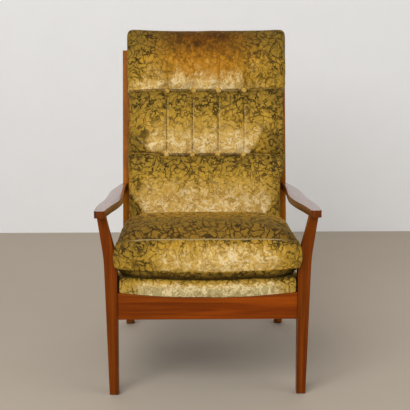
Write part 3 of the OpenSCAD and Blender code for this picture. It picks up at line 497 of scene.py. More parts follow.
def foam(name, tint):
    """Open-cell foam."""
    n = Nodes(name)
    cells = n.put("TexVoronoi", {"Vector": n.place(), "Scale": 600.0}).outputs["Distance"]
    height = n.ranged(cells, 0.1, 0.7)
    return n.finish(n.principled({
        "Base Color": n.mixed(height, shaded(tint, 0.7), tint),
        "Roughness": 0.95, "Normal": n.bump(height, 0.5, 0.0005), "Specular IOR Level": 0.1}))


def velvet(name, cloth):
    """Cut velvet: low veins between raised pile, with light and shade painted from the values stored on the piece.
    """
    n = Nodes(name)
    # The stored painted light and shade, wear, painted seam shadows and highlights, streaks, the pressed seat and
    # the paler platform front
    painted_nap_light, worn, seam, brush, trodden, pale_front = (
        n.put("Attribute", attribute_name=key).outputs["Fac"]
        for key in ("painted_nap_light", "worn", "seam", "brush", "trodden", "pale_front"))
    # Where the seat is pressed flat the figure spreads towards the rear
    spread = n.put("CombineXYZ", {
        "X": n.ranged(trodden, 0, 1, 1.0, 0.85), "Y": n.ranged(trodden, 0, 1, 1.0, 0.52), "Z": 1.0})
    place = n.vector("MULTIPLY", n.place(), spread.outputs[0])

    def warped(vector, scale, reach):
        drift = n.put("TexNoise", {"Vector": vector, "Scale": scale, "Detail": 1.0}).outputs["Color"]
        swirl = n.vector("SUBTRACT", drift, (0.5, 0.5, 0.5))
        return n.vector("ADD", vector, n.vector("MULTIPLY", swirl, (reach, reach, reach)))

    # The figure is warped so that its cells curl like leaves
    bent = warped(warped(place, 30.0, 0.034), 95.0, 0.014)

    def veins(size, thin, wide):
        cells = n.put("TexVoronoi", {"Vector": bent, "Scale": 1 / size, "Randomness": 1.0},
                      feature="DISTANCE_TO_EDGE").outputs["Distance"]
        return n.ranged(cells, thin, wide, 1.0, 0.0)

    # Veins, petals in rings round each flower, curls and a small mesh between them
    some = n.larger(n.ranged(n.noise(place, 34.0, 1.0), 0.42, 0.56, 0.35, 1.0), trodden)
    strong = n.times(veins(cloth.cell, 0.035, 0.150), some)
    fresh = n.ranged(trodden, 0.0, 1.0, 1.0, 0.15)
    flower = n.put("TexVoronoi", {
        "Vector": warped(place, 48.0, 0.016), "Scale": 1 / cloth.flower, "Randomness": 0.9}).outputs["Distance"]
    ripple = n.noise(bent, 0.9 / cloth.cell, 2.0, 0.5, 0.8)
    rings = n.math("FRACT", n.plus(n.times(flower, 4.0), n.times(ripple, 1.5)))
    rings = n.times(n.ranged(n.off_half(rings), 0.050, 0.150, 1.0, 0.0), fresh)
    curl = n.noise(bent, 0.90 / cloth.cell, 1.0, 0.4, 0.6)
    curl = n.times(n.ranged(n.off_half(curl), 0.008, 0.036, 0.45, 0.0), fresh)
    small = n.times(veins(cloth.cell * 0.5, 0.02, 0.12), 0.30)
    patchy = n.ranged(n.noise(place, 22.0, 2.0), 0.32, 0.60, 0.78, 1.0)
    line = n.times(n.larger(n.larger(strong, rings), n.larger(curl, small)), patchy)

    def swing(value, amount):
        return n.times(n.minus(value, 0.5), amount)

    pile = n.noise(place, 420.0, 3.0, 0.6)
    broad = n.noise(bent, 60.0, 3.0, 0.55)
    strokes = n.noise(warped(n.place((46, 24, 20)), 1.3, 1.1), 1.0, 3.0, 0.55)
    # The painted light of the nap, swung by tone that differs at random and by brushed streaks
    tone_and_painted_light = n.plus(n.plus(painted_nap_light, swing(broad, 0.34)), swing(pile, 0.26))
    tone_and_painted_light = n.plus(tone_and_painted_light, n.times(swing(strokes, 0.85), brush))

    def shades(low, middle, high):
        ramp = n.put("ValToRGB", {"Fac": tone_and_painted_light})
        stops = ramp.color_ramp.elements
        stops[0].color, stops[0].position = low, 0.10
        stops[1].color, stops[1].position = high, 0.90
        stops.new(0.50).color = middle
        return ramp.outputs[0]

    # Painted light and shade: shaded, half-lit and lit copies of the gold and of the worn gold
    base = n.mixed(worn, shades(cloth.shade, cloth.gold, cloth.cream),
                   shades(cloth.worn_dark, cloth.worn, cloth.cream))
    # Paler towards the bottom of the platform's front, where the painted light is bright
    base = n.mixed(n.times(pale_front, n.ranged(tone_and_painted_light, 0.25, 0.75)), base, cloth.pale_front)
    # Veins are dark where the painted light is dark, and fade to pale squiggles, a painted highlight, in the light
    fade = n.ranged(worn, 0.2, 1.0, 1.0, 0.62)
    dark_line = n.times(line, n.ranged(tone_and_painted_light, 0.25, 0.85, 0.97, 0.62))
    vein = n.mixed(n.ranged(tone_and_painted_light, 0.40, 0.80), cloth.vein, cloth.vein_lit)
    base = n.mixed(n.times(dark_line, fade), base, vein)
    glint = n.ranged(n.off_half(n.noise(bent, 0.62 / cloth.cell, 2.0, 0.5, 1.0)), 0.006, 0.062, 1.0, 0.0)
    base = n.mixed(n.times(glint, n.ranged(tone_and_painted_light, 0.55, 0.82, 0.0, 0.92)), base, cloth.painted_highlight)
    # A seam value over zero is painted shadow, and one under zero is a painted highlight
    base = n.mixed(n.larger(seam, 0.0), base, cloth.vein)
    base = n.mixed(n.larger(n.times(seam, -1.0), 0.0), base, cloth.painted_highlight)
    return n.finish(n.principled({
        "Base Color": base, "Roughness": 0.80, "Normal": n.bump(n.minus(n.times(pile, 0.35), line), 0.35, 0.0012),
        "Specular IOR Level": 0.10, "Sheen Weight": cloth.sheen, "Sheen Roughness": 0.30,
        "Sheen Tint": (0.95, 0.66, 0.16, 1)}))


def painted(name, tint):
    """A stage surface, open from its rear side so that the chair shows from behind."""
    n = Nodes(name)
    grain = n.ranged(n.noise(n.place(), 9.0, 3.0), 0.3, 0.7, 0.0, 0.06)
    front = n.principled({"Base Color": n.mixed(grain, tint, shaded(tint, 0.8)), "Roughness": 0.8})
    rear = n.put("NewGeometry").outputs["Backfacing"]
    clear = n.put("BsdfTransparent").outputs[0]
    return n.finish(n.put("MixShader", {0: rear, 1: front, 2: clear}).outputs[0])


# Woodwork

FLAT_WITHIN = math.radians(0.6)
SHARP_FROM = math.radians(35)
SMOOTH_UNDER = math.radians(28)
SHORTEST_EDGE = 0.0035
FOOT = 0.004
LEG_TOP = (0.40, 0.52)
LEG_TOP_OUT = 0.004
# A face that points up more than this has the arms' glossier, lighter varnish; the other faces get a darker copy of
# the timber, painted shade
ARM_TOP = 0.6
# Where a leg meets the rails and the arm its edges stay sharp
FRONT_JOINT_X, FRONT_JOINT_Y = 0.2575, 0.004
SIDE_JOINT_Y, SIDE_JOINT_Z = -0.288, (0.2285, 0.306)
ARM_JOINT_Z, ARM_JOINT_Y = 0.50, 0.15
# The lengths of the rails that stand free between the legs
SIDE_RAIL_Y = (-0.284, 0.160)
FRONT_RAIL_X, REAR_RAIL_X = 0.2535, 0.2375


def rounded_copy(node, radius, material, free, segments=3):
    """A merged copy of a node with its free edges rounded over."""
    piece = linked(node + "_polished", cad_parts[node].data.copy())
    dress(piece, material)
    activate(piece)
    bpy.ops.object.mode_set(mode="EDIT")
    bpy.ops.mesh.select_all(action="SELECT")
    bpy.ops.mesh.remove_doubles(threshold=MERGE)
    bpy.ops.mesh.dissolve_limited(angle_limit=FLAT_WITHIN)
    bpy.ops.mesh.select_all(action="DESELECT")
    form = bmesh.from_edit_mesh(piece.data)
    for edge in form.edges:
        sharp = edge.is_manifold and edge.calc_face_angle() > SHARP_FROM
        middle = (edge.verts[0].co + edge.verts[1].co) / 2
        edge.select_set(sharp and edge.calc_length() > SHORTEST_EDGE and free(middle))
    bmesh.update_edit_mesh(piece.data)
    bpy.ops.mesh.bevel(offset=radius, offset_type="OFFSET", segments=segments, profile=0.5, clamp_overlap=True)
    bpy.ops.object.mode_set(mode="OBJECT")
    bpy.ops.object.shade_smooth_by_angle(angle=SMOOTH_UNDER)
    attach(piece, FRAME_BODY)
    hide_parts(node)
    return piece


class CHAIR_OT_woodwork(bpy.types.Operator):
    """Round over the polished timbers and give them their grain"""

    bl_idname = "chair.woodwork"
    bl_label = "Polished woodwork"

    def execute(self, context):
        wood = context.scene.chair_wood
        rail_low, rail_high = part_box("front_rail")

        def polished(name, along, coat, tone_and_painted_light, turn=(0, 0, 0)):
            light, dark = (shaded(tint, tone_and_painted_light) for tint in (wood.light, wood.dark))
            return timber(name, along, light, dark, wood.pore, wood.gloss, coat, turn)

        def leg_free(p):
            """Clear of the foot, the arm and the ends of the front and side rails."""
            at_front = (abs(p.x) < FRONT_JOINT_X and rail_low.z < p.z < rail_high.z
                        and p.y < rail_high.y + FRONT_JOINT_Y)
            at_side = p.y > SIDE_JOINT_Y and SIDE_JOINT_Z[0] < p.z < SIDE_JOINT_Z[1]
            return FOOT < p.z < ARM_JOINT_Z and not at_front and not at_side

        # Each copy of the timber is scaled lighter or darker to paint the light and shade that falls on its parts:
        # darker front legs, rails and arms, brighter back legs, darkest arm sides
        upright = polished("polished_upright", "z", 0.10, (0.66, 0.62, 0.6))
        raked = polished("polished_raked", "z", 0.05, (1.15, 1.65, 1.0), (-RAKE, 0, 0))
        crosswise = polished("polished_crosswise", "x", 0.10, (0.89, 0.78, 0.6))
        lengthwise = polished("polished_lengthwise", "y", 1.0, (0.55, 0.48, 0.5))
        arm_shaded_sides = polished("polished_shaded_sides", "y", 0.25, (0.40, 0.36, 0.4))
        for side in ("left", "right"):
            leg = rounded_copy("front_leg_" + side, wood.round_over, upright, leg_free)
            co = points_of(leg)
            co[:, 0] += np.sign(co[:, 0]) * LEG_TOP_OUT * ease(*LEG_TOP, co[:, 2])
            set_points(leg, co)
            arm = rounded_copy("arm_" + side, wood.arm_round, lengthwise, lambda p: p.y < ARM_JOINT_Y, 4)
            arm.data.materials.append(arm_shaded_sides)
            for face in arm.data.polygons:
                face.material_index = 0 if face.normal.z > ARM_TOP else 1
            rounded_copy("back_leg_" + side, wood.round_over, raked, lambda p: p.z > FOOT)
            rounded_copy("side_rail_" + side, wood.round_over * 0.7, lengthwise,
                         lambda p: SIDE_RAIL_Y[0] < p.y < SIDE_RAIL_Y[1])
        rounded_copy("front_rail", wood.round_over * 0.8, crosswise, lambda p: abs(p.x) < FRONT_RAIL_X)
        for node in ("rear_rail", "back_top_rail", "back_lower_rail"):
            rounded_copy(node, wood.round_over * 0.6, crosswise, lambda p: abs(p.x) < REAR_RAIL_X)
        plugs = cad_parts["arm_plugs"]
        dress(plugs, raked)
        return {"FINISHED"}


class CHAIR_OT_inner_frame(bpy.types.Operator):
    """Give the battens, springs, cloths and fasteners inside the seat their finishes"""

    bl_idname = "chair.inner_frame"
    bl_label = "Inner frame"

    def execute(self, context):
        wood = context.scene.chair_wood
        dark = shaded(wood.plain, 0.7)
        beech = timber("beech_timber", "x", wood.plain, dark, dark, 0.5, 0.0)
        zinc = metal("bright_zinc", (0.62, 0.62, 0.60, 1), 0.32)
        spring = metal("oiled_spring", (0.34, 0.34, 0.35, 1), 0.36)
        blued = metal("blued_tack", (0.08, 0.085, 0.11, 1), 0.34)
        jute = woven("jute_weave", (0.46, 0.33, 0.18, 1), (0.16, 0.10, 0.05, 1), 0.0024)
        lining = woven("black_lining", (0.030, 0.028, 0.026, 1), (0.008, 0.008, 0.008, 1), 0.0012)
        cream = foam("cream_foam", (0.78, 0.72, 0.52, 1))
        finishes = {
            ("rail_dowels", "front_batten", "rear_batten", "side_battens", "corner_blocks"): (beech, "plain_beech"),
            ("corner_block_screws", "arm_screws", "foot_glides", "spring_clips"): (zinc, "zinc_steel"),
            ("seat_springs",): (spring, "spring_steel"),
            ("dust_cover_tacks", "webbing_tacks", "outside_back_tacks"): (blued, "blued_steel"),
            ("seat_hessian", "back_webbing", "back_hessian", "button_ties"): (jute, "jute_cloth"),
            ("platform_pad", "seat_cushion_foam", "back_cushion_foam"): (cream, "foam"),
            ("dust_cover",): (lining, "black_cloth"),
        }
        for nodes, (material, slot) in finishes.items():
            for name in nodes:
                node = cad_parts[name]
                dress(node, material)
        return {"FINISHED"}


# Seat cushion

SEAT_FRONT = -0.024
SEAT_REAR = 0.4072
SEAT_HALF = 0.250
SEAT_TAPER = 0.005
SEAT_CORNER = 0.034
SEAT_LOW = 0.0253
SEAT_BORDER = 0.083
SEAT_DRAW = 0.004
# Crown, height, spread, corner radius, and powers of the curve of each panel
TOP_PANEL = (0.029, SEAT_LOW + SEAT_BORDER, 0.007, 0.030, 5, 0.62)
BOTTOM_PANEL = (-0.024, SEAT_LOW, 0.0045, 0.012, 20, 0.5)
SIDE_BULGE = 0.007
SIDE_DROOP = 0.010
SIDE_HANG = 0.018
SEAM_HOLD = 0.6
PLATFORM_DIP = 0.012
DIP_LENGTH = 0.15
# Height of a front leg's inner face, and its distance from the middle
LEG_FACE = np.array([[0.0, 0.2550], [0.372, 0.2550], [0.403, 0.2573], [0.420, 0.2597], [0.439, 0.2629],
                     [0.458, 0.2665], [0.490, 0.2725]])
LEG_GAP = 0.0008
BESIDE_LEGS = -0.008
AHEAD_OF_LEGS = 0.266
# Share of the border's height, and the painted light of the nap there
SEAT_NAP_LIGHT = ((-0.3, -0.06, 0.04, 0.35, 0.7, 0.94, 1.02, 1.1), (0.04, 0.08, 0.66, 0.68, 0.56, 0.38, 0.14, 0.12))


def platform_dip(u, v):
    """Dip of the platform's front edge under the sitter, deepest in the middle."""
    return PLATFORM_DIP * (1 - np.clip(u, -1, 1)**2) * ease(DIP_LENGTH, 0, v)


def underside_drop(u, v):
    """How far the underside follows the platform's dip and hangs at its sides."""
    hang = SIDE_HANG * np.minimum(np.abs(u), 1)**10 * ease(0.0, 0.05, v)
    return 0.8 * platform_dip(u, v) + hang


def side_droop(u, v):
    """How far the top seam hangs towards the front corners."""
    return SIDE_DROOP * np.minimum(np.abs(u), 1)**7 * ease(0.16, 0.0, v)


def seat_half(v, spread, radius):
    """Half width of the seat cushion at a seam."""
    t = (v - SEAT_FRONT) / (SEAT_REAR - SEAT_FRONT)
    cut = corner(np.minimum(v - SEAT_FRONT, SEAT_REAR - v), radius)
    return SEAT_HALF + spread - SEAT_TAPER * t - cut - SEAT_DRAW * np.sin(math.pi * np.clip(t, 0, 1))


def seat_panel(crown, height, spread, radius, ring_power, rise_power):
    """A crowned top or bottom panel, as a grid over the plan."""
    uu, vv = np.meshgrid(spaced(-1, 1, 58, 0.12, 7), spaced(SEAT_FRONT, SEAT_REAR, 48, SEAT_CORNER, 12))
    t = (vv - SEAT_FRONT) / (SEAT_REAR - SEAT_FRONT) * 2 - 1
    pull = SEAT_DRAW * 0.9 * (1 - uu**2) * t * np.abs(t)**6
    ring = np.minimum((np.abs(uu)**6 + np.abs(t)**6)**(1 / 6), 1)
    rise = crown * (1 - ring**ring_power)**rise_power
    rise -= side_droop(uu, vv) if crown > 0 else underside_drop(uu, vv)
    return on_seat(uu * seat_half(vv, spread, radius), vv - pull, height + rise)


def loft(lower, upper, bulge, steps, centre):
    """Loops from one loop up to another, bulging outwards in between."""
    out = (lower + upper) / 2 - centre
    along = (upper - lower) / np.maximum(np.linalg.norm(upper - lower, axis=1), 1e-9)[:, None]
    out -= np.sum(out * along, axis=1)[:, None] * along
    out /= np.linalg.norm(out, axis=1)[:, None]
    rows = []
    for t in np.linspace(0, 1, steps + 2)[1:-1]:
        rows.append(lower * (1 - t) + upper * t + out * bulge * (4 * t * (1 - t))**0.75)
    return rows


def nap_light_of_facing(piece):
    """Painted light of the pile: how much it catches the light, less where it faces up, more where it faces down.
    """
    return np.clip(0.62 - 0.62 * smoothed(piece, normals_of(piece)[:, 2], 4), 0, 1)


class CHAIR_OT_seat_cushion(bpy.types.Operator):
    """Make the loose seat cushion with its crowned panels, border and seams"""

    bl_idname = "chair.seat_cushion"
    bl_label = "Seat cushion"

    def execute(self, context):
        fill = context.scene.chair_cushions
        top, bottom = seat_panel(*TOP_PANEL), seat_panel(*BOTTOM_PANEL)
        seams = np.concatenate([border(top), border(bottom)])
        middle = on_seat(0.0, (SEAT_FRONT + SEAT_REAR) / 2, SEAT_LOW + SEAT_BORDER / 2)
        piece = boxed("seat_cushion", top, loft(border(top), border(bottom), SIDE_BULGE, 12, middle), bottom)
        tree = KDTree(len(seams))
        for i, point in enumerate(seams):
            tree.insert(point, i)
        tree.balance()
        on_seam = np.array([tree.find(p)[2] < 0.0004 for p in points_of(piece)])
        puffed(piece, np.where(on_seam, SEAM_HOLD, 0.0), fill.puff_cap)
        modified(piece, "SUBSURF", levels=1)
        co = points_of(piece)
        rough = waves(co, 9.0, 3.1) * 0.0022 + waves(co, 24.0, 7.7) * 0.0009
        x, v, w = from_seat(co + normals_of(piece) * rough[:, None])
        # Beside the legs it stays between them, also when it is drawn out
        face = np.interp(SEAT_ORIGIN.z - 0.003 + w * math.cos(SEAT_SLOPE), *LEG_FACE.T) - LEG_GAP
        half = np.where(v > BESIDE_LEGS, face, AHEAD_OF_LEGS)
        ahead = 0.005 * ease(-0.006, -0.018, v) * ease(0.2, 0.25, np.abs(x))
        x = np.clip(x + np.sign(x) * ahead, -half, half)
        u = x / SEAT_HALF
        w = np.maximum(w, 0.0008 - 0.95 * platform_dip(u, v))
        set_points(piece, on_seat(x, v, w))

        low_seam = SEAT_LOW - underside_drop(u, v)
        high_seam = SEAT_LOW + SEAT_BORDER - side_droop(u, v)
        share_up = (w - low_seam) / (high_seam - low_seam)
        on_top = ease(0.99, 1.03, share_up)
        # Painted light and shade of the nap: a table up the border, the top lighter towards the rear and darker at
        # its sides, darker ends of the border, a brighter middle
        painted_nap_light = np.interp(share_up, *SEAT_NAP_LIGHT)
        painted_nap_light += on_top * (0.05 + 0.32 * ease(0.08, 0.33, v) - 0.06 * ease(0.15, 0.25, np.abs(x)))
        painted_nap_light -= (1 - on_top) * (0.30 * ease(-0.10, -0.21, x) + 0.20 * ease(0.17, 0.25, x))
        painted_nap_light += 0.12 * bell(x - 0.06, 0.09) * (share_up > 0) * (share_up < 0.9)
        # A painted highlight along the welt of the top seam at the front, and a painted shadow low on the front
        # where the cushion meets the platform
        welt_highlight = bell(w - high_seam - 0.0004, 0.0010) * ease(0.01, -0.012, v)
        shadow = ease(-0.10, -0.24, share_up) * ease(0.06, 0.02, v)
        store(piece, "painted_nap_light", np.clip(painted_nap_light, 0.04, 1))
        store(piece, "worn", 0.15 * ease(0.5, 0.9, share_up) * (1 - on_top) + 0.38 * on_top)
        store(piece, "brush", 0.80 * ease(-0.02, 0.1, share_up) * ease(1.0, 0.9, share_up))
        store(piece, "trodden", on_top)
        store(piece, "seam", 0.75 * shadow - 0.38 * welt_highlight * ease(0.23, 0.19, np.abs(x)))
        dress(piece, bpy.data.materials["cut_velvet"])
        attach(piece, CUSHION_BODY)
        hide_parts("seat_cushion_cover")
        return {"FINISHED"}


# Seat platform

PLATFORM_ROLL = 0.011
PLATFORM_THICK = 0.036
BETWEEN_LEGS, BEHIND_LEGS = 0.2485, 0.2618
LEGS_END = (0.0435 - MID_Y, 0.0455 - MID_Y)
RAIL_HALF, RAIL_SAG = 0.255, 0.014


class CHAIR_OT_platform(bpy.types.Operator):
    """Make the padded platform whose rounded front edge stands on the front rail"""

    bl_idname = "chair.platform"
    bl_label = "Seat platform"

    def execute(self, context):
        _, rail_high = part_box("front_rail")
        low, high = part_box("platform_cover")
        front, rear = low.y, high.y
        depth = np.concatenate([
            front + PLATFORM_ROLL * (1 - np.cos(np.linspace(0, math.pi / 2, 9))),
            np.linspace(front + 0.016, front + 0.06, 8), np.linspace(front + 0.08, rear, 18)])
        uu, yy = np.meshgrid(np.linspace(-1, 1, 61), depth)
        behind = ease(*LEGS_END, yy)
        side = BEHIND_LEGS - (yy + MID_Y - 0.044) / 0.45 * 0.020
        x = uu * (BETWEEN_LEGS * (1 - behind) + side * behind)
        plane = SEAT_ORIGIN.z - (yy - SEAT_ORIGIN.y) * math.tan(SEAT_SLOPE)
        dip = PLATFORM_DIP * (1 - ease(front, front + DIP_LENGTH, yy)) * (1 - uu**2)
        over = plane - dip - corner(yy - front, PLATFORM_ROLL) - 0.006 * np.abs(uu)**14
        radius = (RAIL_HALF**2 + RAIL_SAG**2) / (2 * RAIL_SAG)
        rail = rail_high.z - RAIL_SAG + radius - np.sqrt(radius**2 - x**2) + 0.0006
        under = np.where(yy < rail_high.y, rail, plane - PLATFORM_THICK / math.cos(SEAT_SLOPE))
        top, bottom = np.stack([x, yy, over], -1), np.stack([x, yy, under], -1)
        middle = np.array([0.0, (front + rear) / 2, (low.z + high.z) / 2])
        piece = boxed("seat_platform", top, loft(border(top), border(bottom), 0.0025, 7, middle), bottom)
        modified(piece, "SUBSURF", levels=1)
        co = points_of(piece)
        rough = waves(co, 16.0, 1.3) * 0.0012 + waves(co, 40.0, 4.2) * 0.0005
        co += normals_of(piece) * rough[:, None]
        co[:, 1] = np.maximum(co[:, 1], front - 0.003)
        in_legs = co[:, 1] < 0.045 - MID_Y
        co[in_legs, 0] = np.clip(co[in_legs, 0], -0.2545, 0.2545)
        set_points(piece, co)
        rail_top = rail_high.z - RAIL_SAG * (1 - np.minimum(np.abs(co[:, 0]) / 0.25, 1)**2)
        height = (co[:, 2] - rail_top) / 0.050
        ends = ease(0.165, 0.235, np.abs(co[:, 0]))
        # Painted light of the nap, darker towards the top and at the ends; a paler colour low on the front; painted
        # shadow along the top edge, where the cushion rests on it
        store(piece, "painted_nap_light", 0.80 - 0.34 * ease(0.55, 0.98, height) - 0.30 * ends)
        store(piece, "pale_front", 0.95 * ease(0.85, 0.35, height) * (1 - 0.75 * ends))
        store(piece, "brush", np.full(len(height), 0.7))
        store(piece, "seam", 0.70 * ease(0.93, 1.06, height))
        dress(piece, bpy.data.materials["cut_velvet"])
        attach(piece, FRAME_BODY)
        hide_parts("platform_cover")
        return {"FINISHED"}


# Back cushion

PAD_LOW, PAD_HIGH = 0.008, 0.686
PAD_HALF = 0.2485
PAD_SIDE = 0.072
PAD_CORNER = 0.026
PAD_WAIST = 0.002
PAD_ROUND = 0.026
VALLEY = 0.006
LUMBAR, FLUTE, HEAD = 0.036, 0.028, 0.032
PIT_REACH = 0.017
FLUTE_DEPTH, HEAD_PULL = 0.0075, 0.004
# Distances of the points beside a flute and beside a crease
FLUTE_STATIONS = (0.002, 0.006, 0.012, 0.019, 0.028)
CREASE_STATIONS = (0.0015, 0.004, 0.008, 0.013, 0.020, 0.028)
# Share of the height and painted light of the nap of the lumbar, fluted and head rolls, from low to high
NAP_LIGHT_OF_ROLLS = (
    ((0, 0.33, 0.42, 0.55, 0.70, 0.82, 0.95, 1), (0.90, 0.92, 0.84, 0.72, 0.62, 0.44, 0.26, 0.20)),
    ((0, 0.03, 0.12, 0.25, 0.40, 0.60, 0.75, 0.90, 1), (0.70, 1.05, 0.98, 0.82, 0.66, 0.52, 0.34, 0.24, 0.16)),
    ((0, 0.03, 0.12, 0.20, 0.32, 0.50, 0.64, 0.82, 1), (0.72, 1.02, 0.95, 0.70, 0.56, 0.47, 0.28, 0.12, 0.10)),
)


def pad_half(s):
    """Half width of the back cushion at a height."""
    t = (s - PAD_LOW) / (PAD_HIGH - PAD_LOW)
    cut = corner(np.minimum(s - PAD_LOW, PAD_HIGH - s), PAD_CORNER)
    return PAD_HALF - cut - PAD_WAIST * np.sin(math.pi * np.clip(t, 0, 1))


def roll(t, lean):
    """Rise of a stuffed roll from low to high, its fullest point at lean."""
    t = np.clip(t, 0, 1)
    bent = np.where(t < lean, 0.5 * t / lean, 0.5 + 0.5 * (t - lean) / (1 - lean))
    return np.sin(math.pi * bent)**0.62


def creases(x):
    """Heights of the two creases across the cushion: they sag between the buttons."""
    low, high = BUTTON_ROWS
    sag = np.abs(np.sin(math.pi * (x - BUTTON_X[2]) / BUTTON_PITCH))**1.5 * (np.abs(x) < BUTTON_X[3])
    out = ease(BUTTON_X[3], PAD_HALF, np.abs(x))
    left = out * (x < 0)
    right = out * (x > 0)
    return low - 0.003 * sag + 0.004 * left - 0.002 * right, high - 0.003 * sag - 0.003 * left + 0.005 * right


# Where the folds beside the flutes leave the lower crease, and their height as a share of the flutes
FOLD_X = (-0.240, -0.200, -0.160, -0.120, 0.115, 0.170, 0.196, 0.215, 0.240)
FOLD_RISE = (0.30, 0.19, 0.08, 0.0, 0.0, 0.20, 0.43, 0.62, 0.90)


def above_fold(x, s):
    """Height over the fold beside the flutes, as a share of the flutes, and how far it has formed."""
    low, high = creases(x)
    rise = np.interp(x, FOLD_X, FOLD_RISE)
    formed = ease(0.115, 0.150, np.abs(x)) * ease(0.55, 0.30, rise) * ease(low, low + 0.006, s)
    formed *= (s < high) * ease(0.222, 0.190, np.abs(x))
    return (s - low) / (high - low) - rise + 0.05 * np.sin(60 * x), formed


def pad_rise(x, s):
    """Rise of the cushion's face over its side thickness."""
    low, high = creases(x)
    first = VALLEY + (LUMBAR - VALLEY) * roll((s - PAD_LOW) / (low - PAD_LOW), 0.66)
    first = np.where(s < (PAD_LOW + low) / 2, first - VALLEY * (1 - ease(PAD_LOW, low, s)), first)
    second = VALLEY + (FLUTE - VALLEY) * roll((s - low) / (high - low), 0.46)
    t = (s - high) / (PAD_HIGH - high)
    third = VALLEY + (HEAD - VALLEY) * roll(t, 0.40) - 0.008 * ease(0.6, 1.0, t)
    return np.where(s <= low, first, np.where(s <= high, second, third))


def to_flute(x):
    """Distance to the nearest column of buttons."""
    return np.min([np.abs(x - c) for c in BUTTON_X], axis=0)


def to_crease(x, s):
    """Distance to the nearer crease."""
    return np.min([np.abs(s - row) for row in creases(x)], axis=0)


def pad_front(x, s):
    """Depth of the cushion's face in front of the back's plane, before its rounded edges."""
    low, high = BUTTON_ROWS
    face = PAD_SIDE + pad_rise(x, s) * (1 - np.clip(np.abs(x) / pad_half(s), 0, 1)**5)
    face -= FLUTE_DEPTH * within(low, high, 0.02, s) * bell(to_flute(x), 0.011, 1.3)
    above = ease(high + 0.07, high + 0.01, s) * (s > high)
    face -= HEAD_PULL * above * bell(to_flute(x), 0.014, 1.5)
    for row in BUTTON_ROWS:
        for c in BUTTON_X:
            dent = ease(PIT_REACH + 0.010, 0.009, np.hypot(x - c, s - row))
            face = face * (1 - dent) + np.minimum(face, PIT_FLOOR + 0.001) * dent
    return face


def stations(middle, distances):
    """A place and those beside it."""
    return [middle, *(middle - d for d in distances), *(middle + d for d in distances)]


def pad_stations():
    """Columns and rows of the face, close together at the seams, flutes and edges."""
    turn = np.linspace(0, math.pi / 2, 9)
    half = {0.0, 0.0065, 0.082, 0.160, 0.170, 0.180, 0.190, 0.200, 0.210, 0.218}
    for c in (0.041, 0.123):
        half.update(stations(c, FLUTE_STATIONS))
    right = np.array(sorted(half) + (PAD_HALF - PAD_ROUND * np.cos(turn)).tolist())
    low, high = BUTTON_ROWS
    rows = np.concatenate([
        PAD_LOW + PAD_ROUND * (1 - np.cos(turn)), PAD_HIGH - PAD_ROUND * (1 - np.cos(turn)),
        np.arange(0.044, 0.244, 0.0095), stations(low, CREASE_STATIONS), stations(high, CREASE_STATIONS),
        np.linspace(low + 0.037, high - 0.037, 15), np.linspace(high + 0.037, PAD_HIGH - PAD_ROUND - 0.008, 14)])
    return np.concatenate([-right[:0:-1], right]) / PAD_HALF, np.sort(rows)


def pad_edge(x, s):
    """One in the middle of the cushion, falling to zero round its outline."""
    a = np.clip((np.abs(x) - (pad_half(s) - PAD_ROUND)) / PAD_ROUND, 0, 1)
    b = np.clip((PAD_ROUND - np.minimum(s - PAD_LOW, PAD_HIGH - s)) / PAD_ROUND, 0, 1)
    return (np.maximum(1 - a**2.6, 0) * np.maximum(1 - b**2.6, 0))**(1 / 2.6)


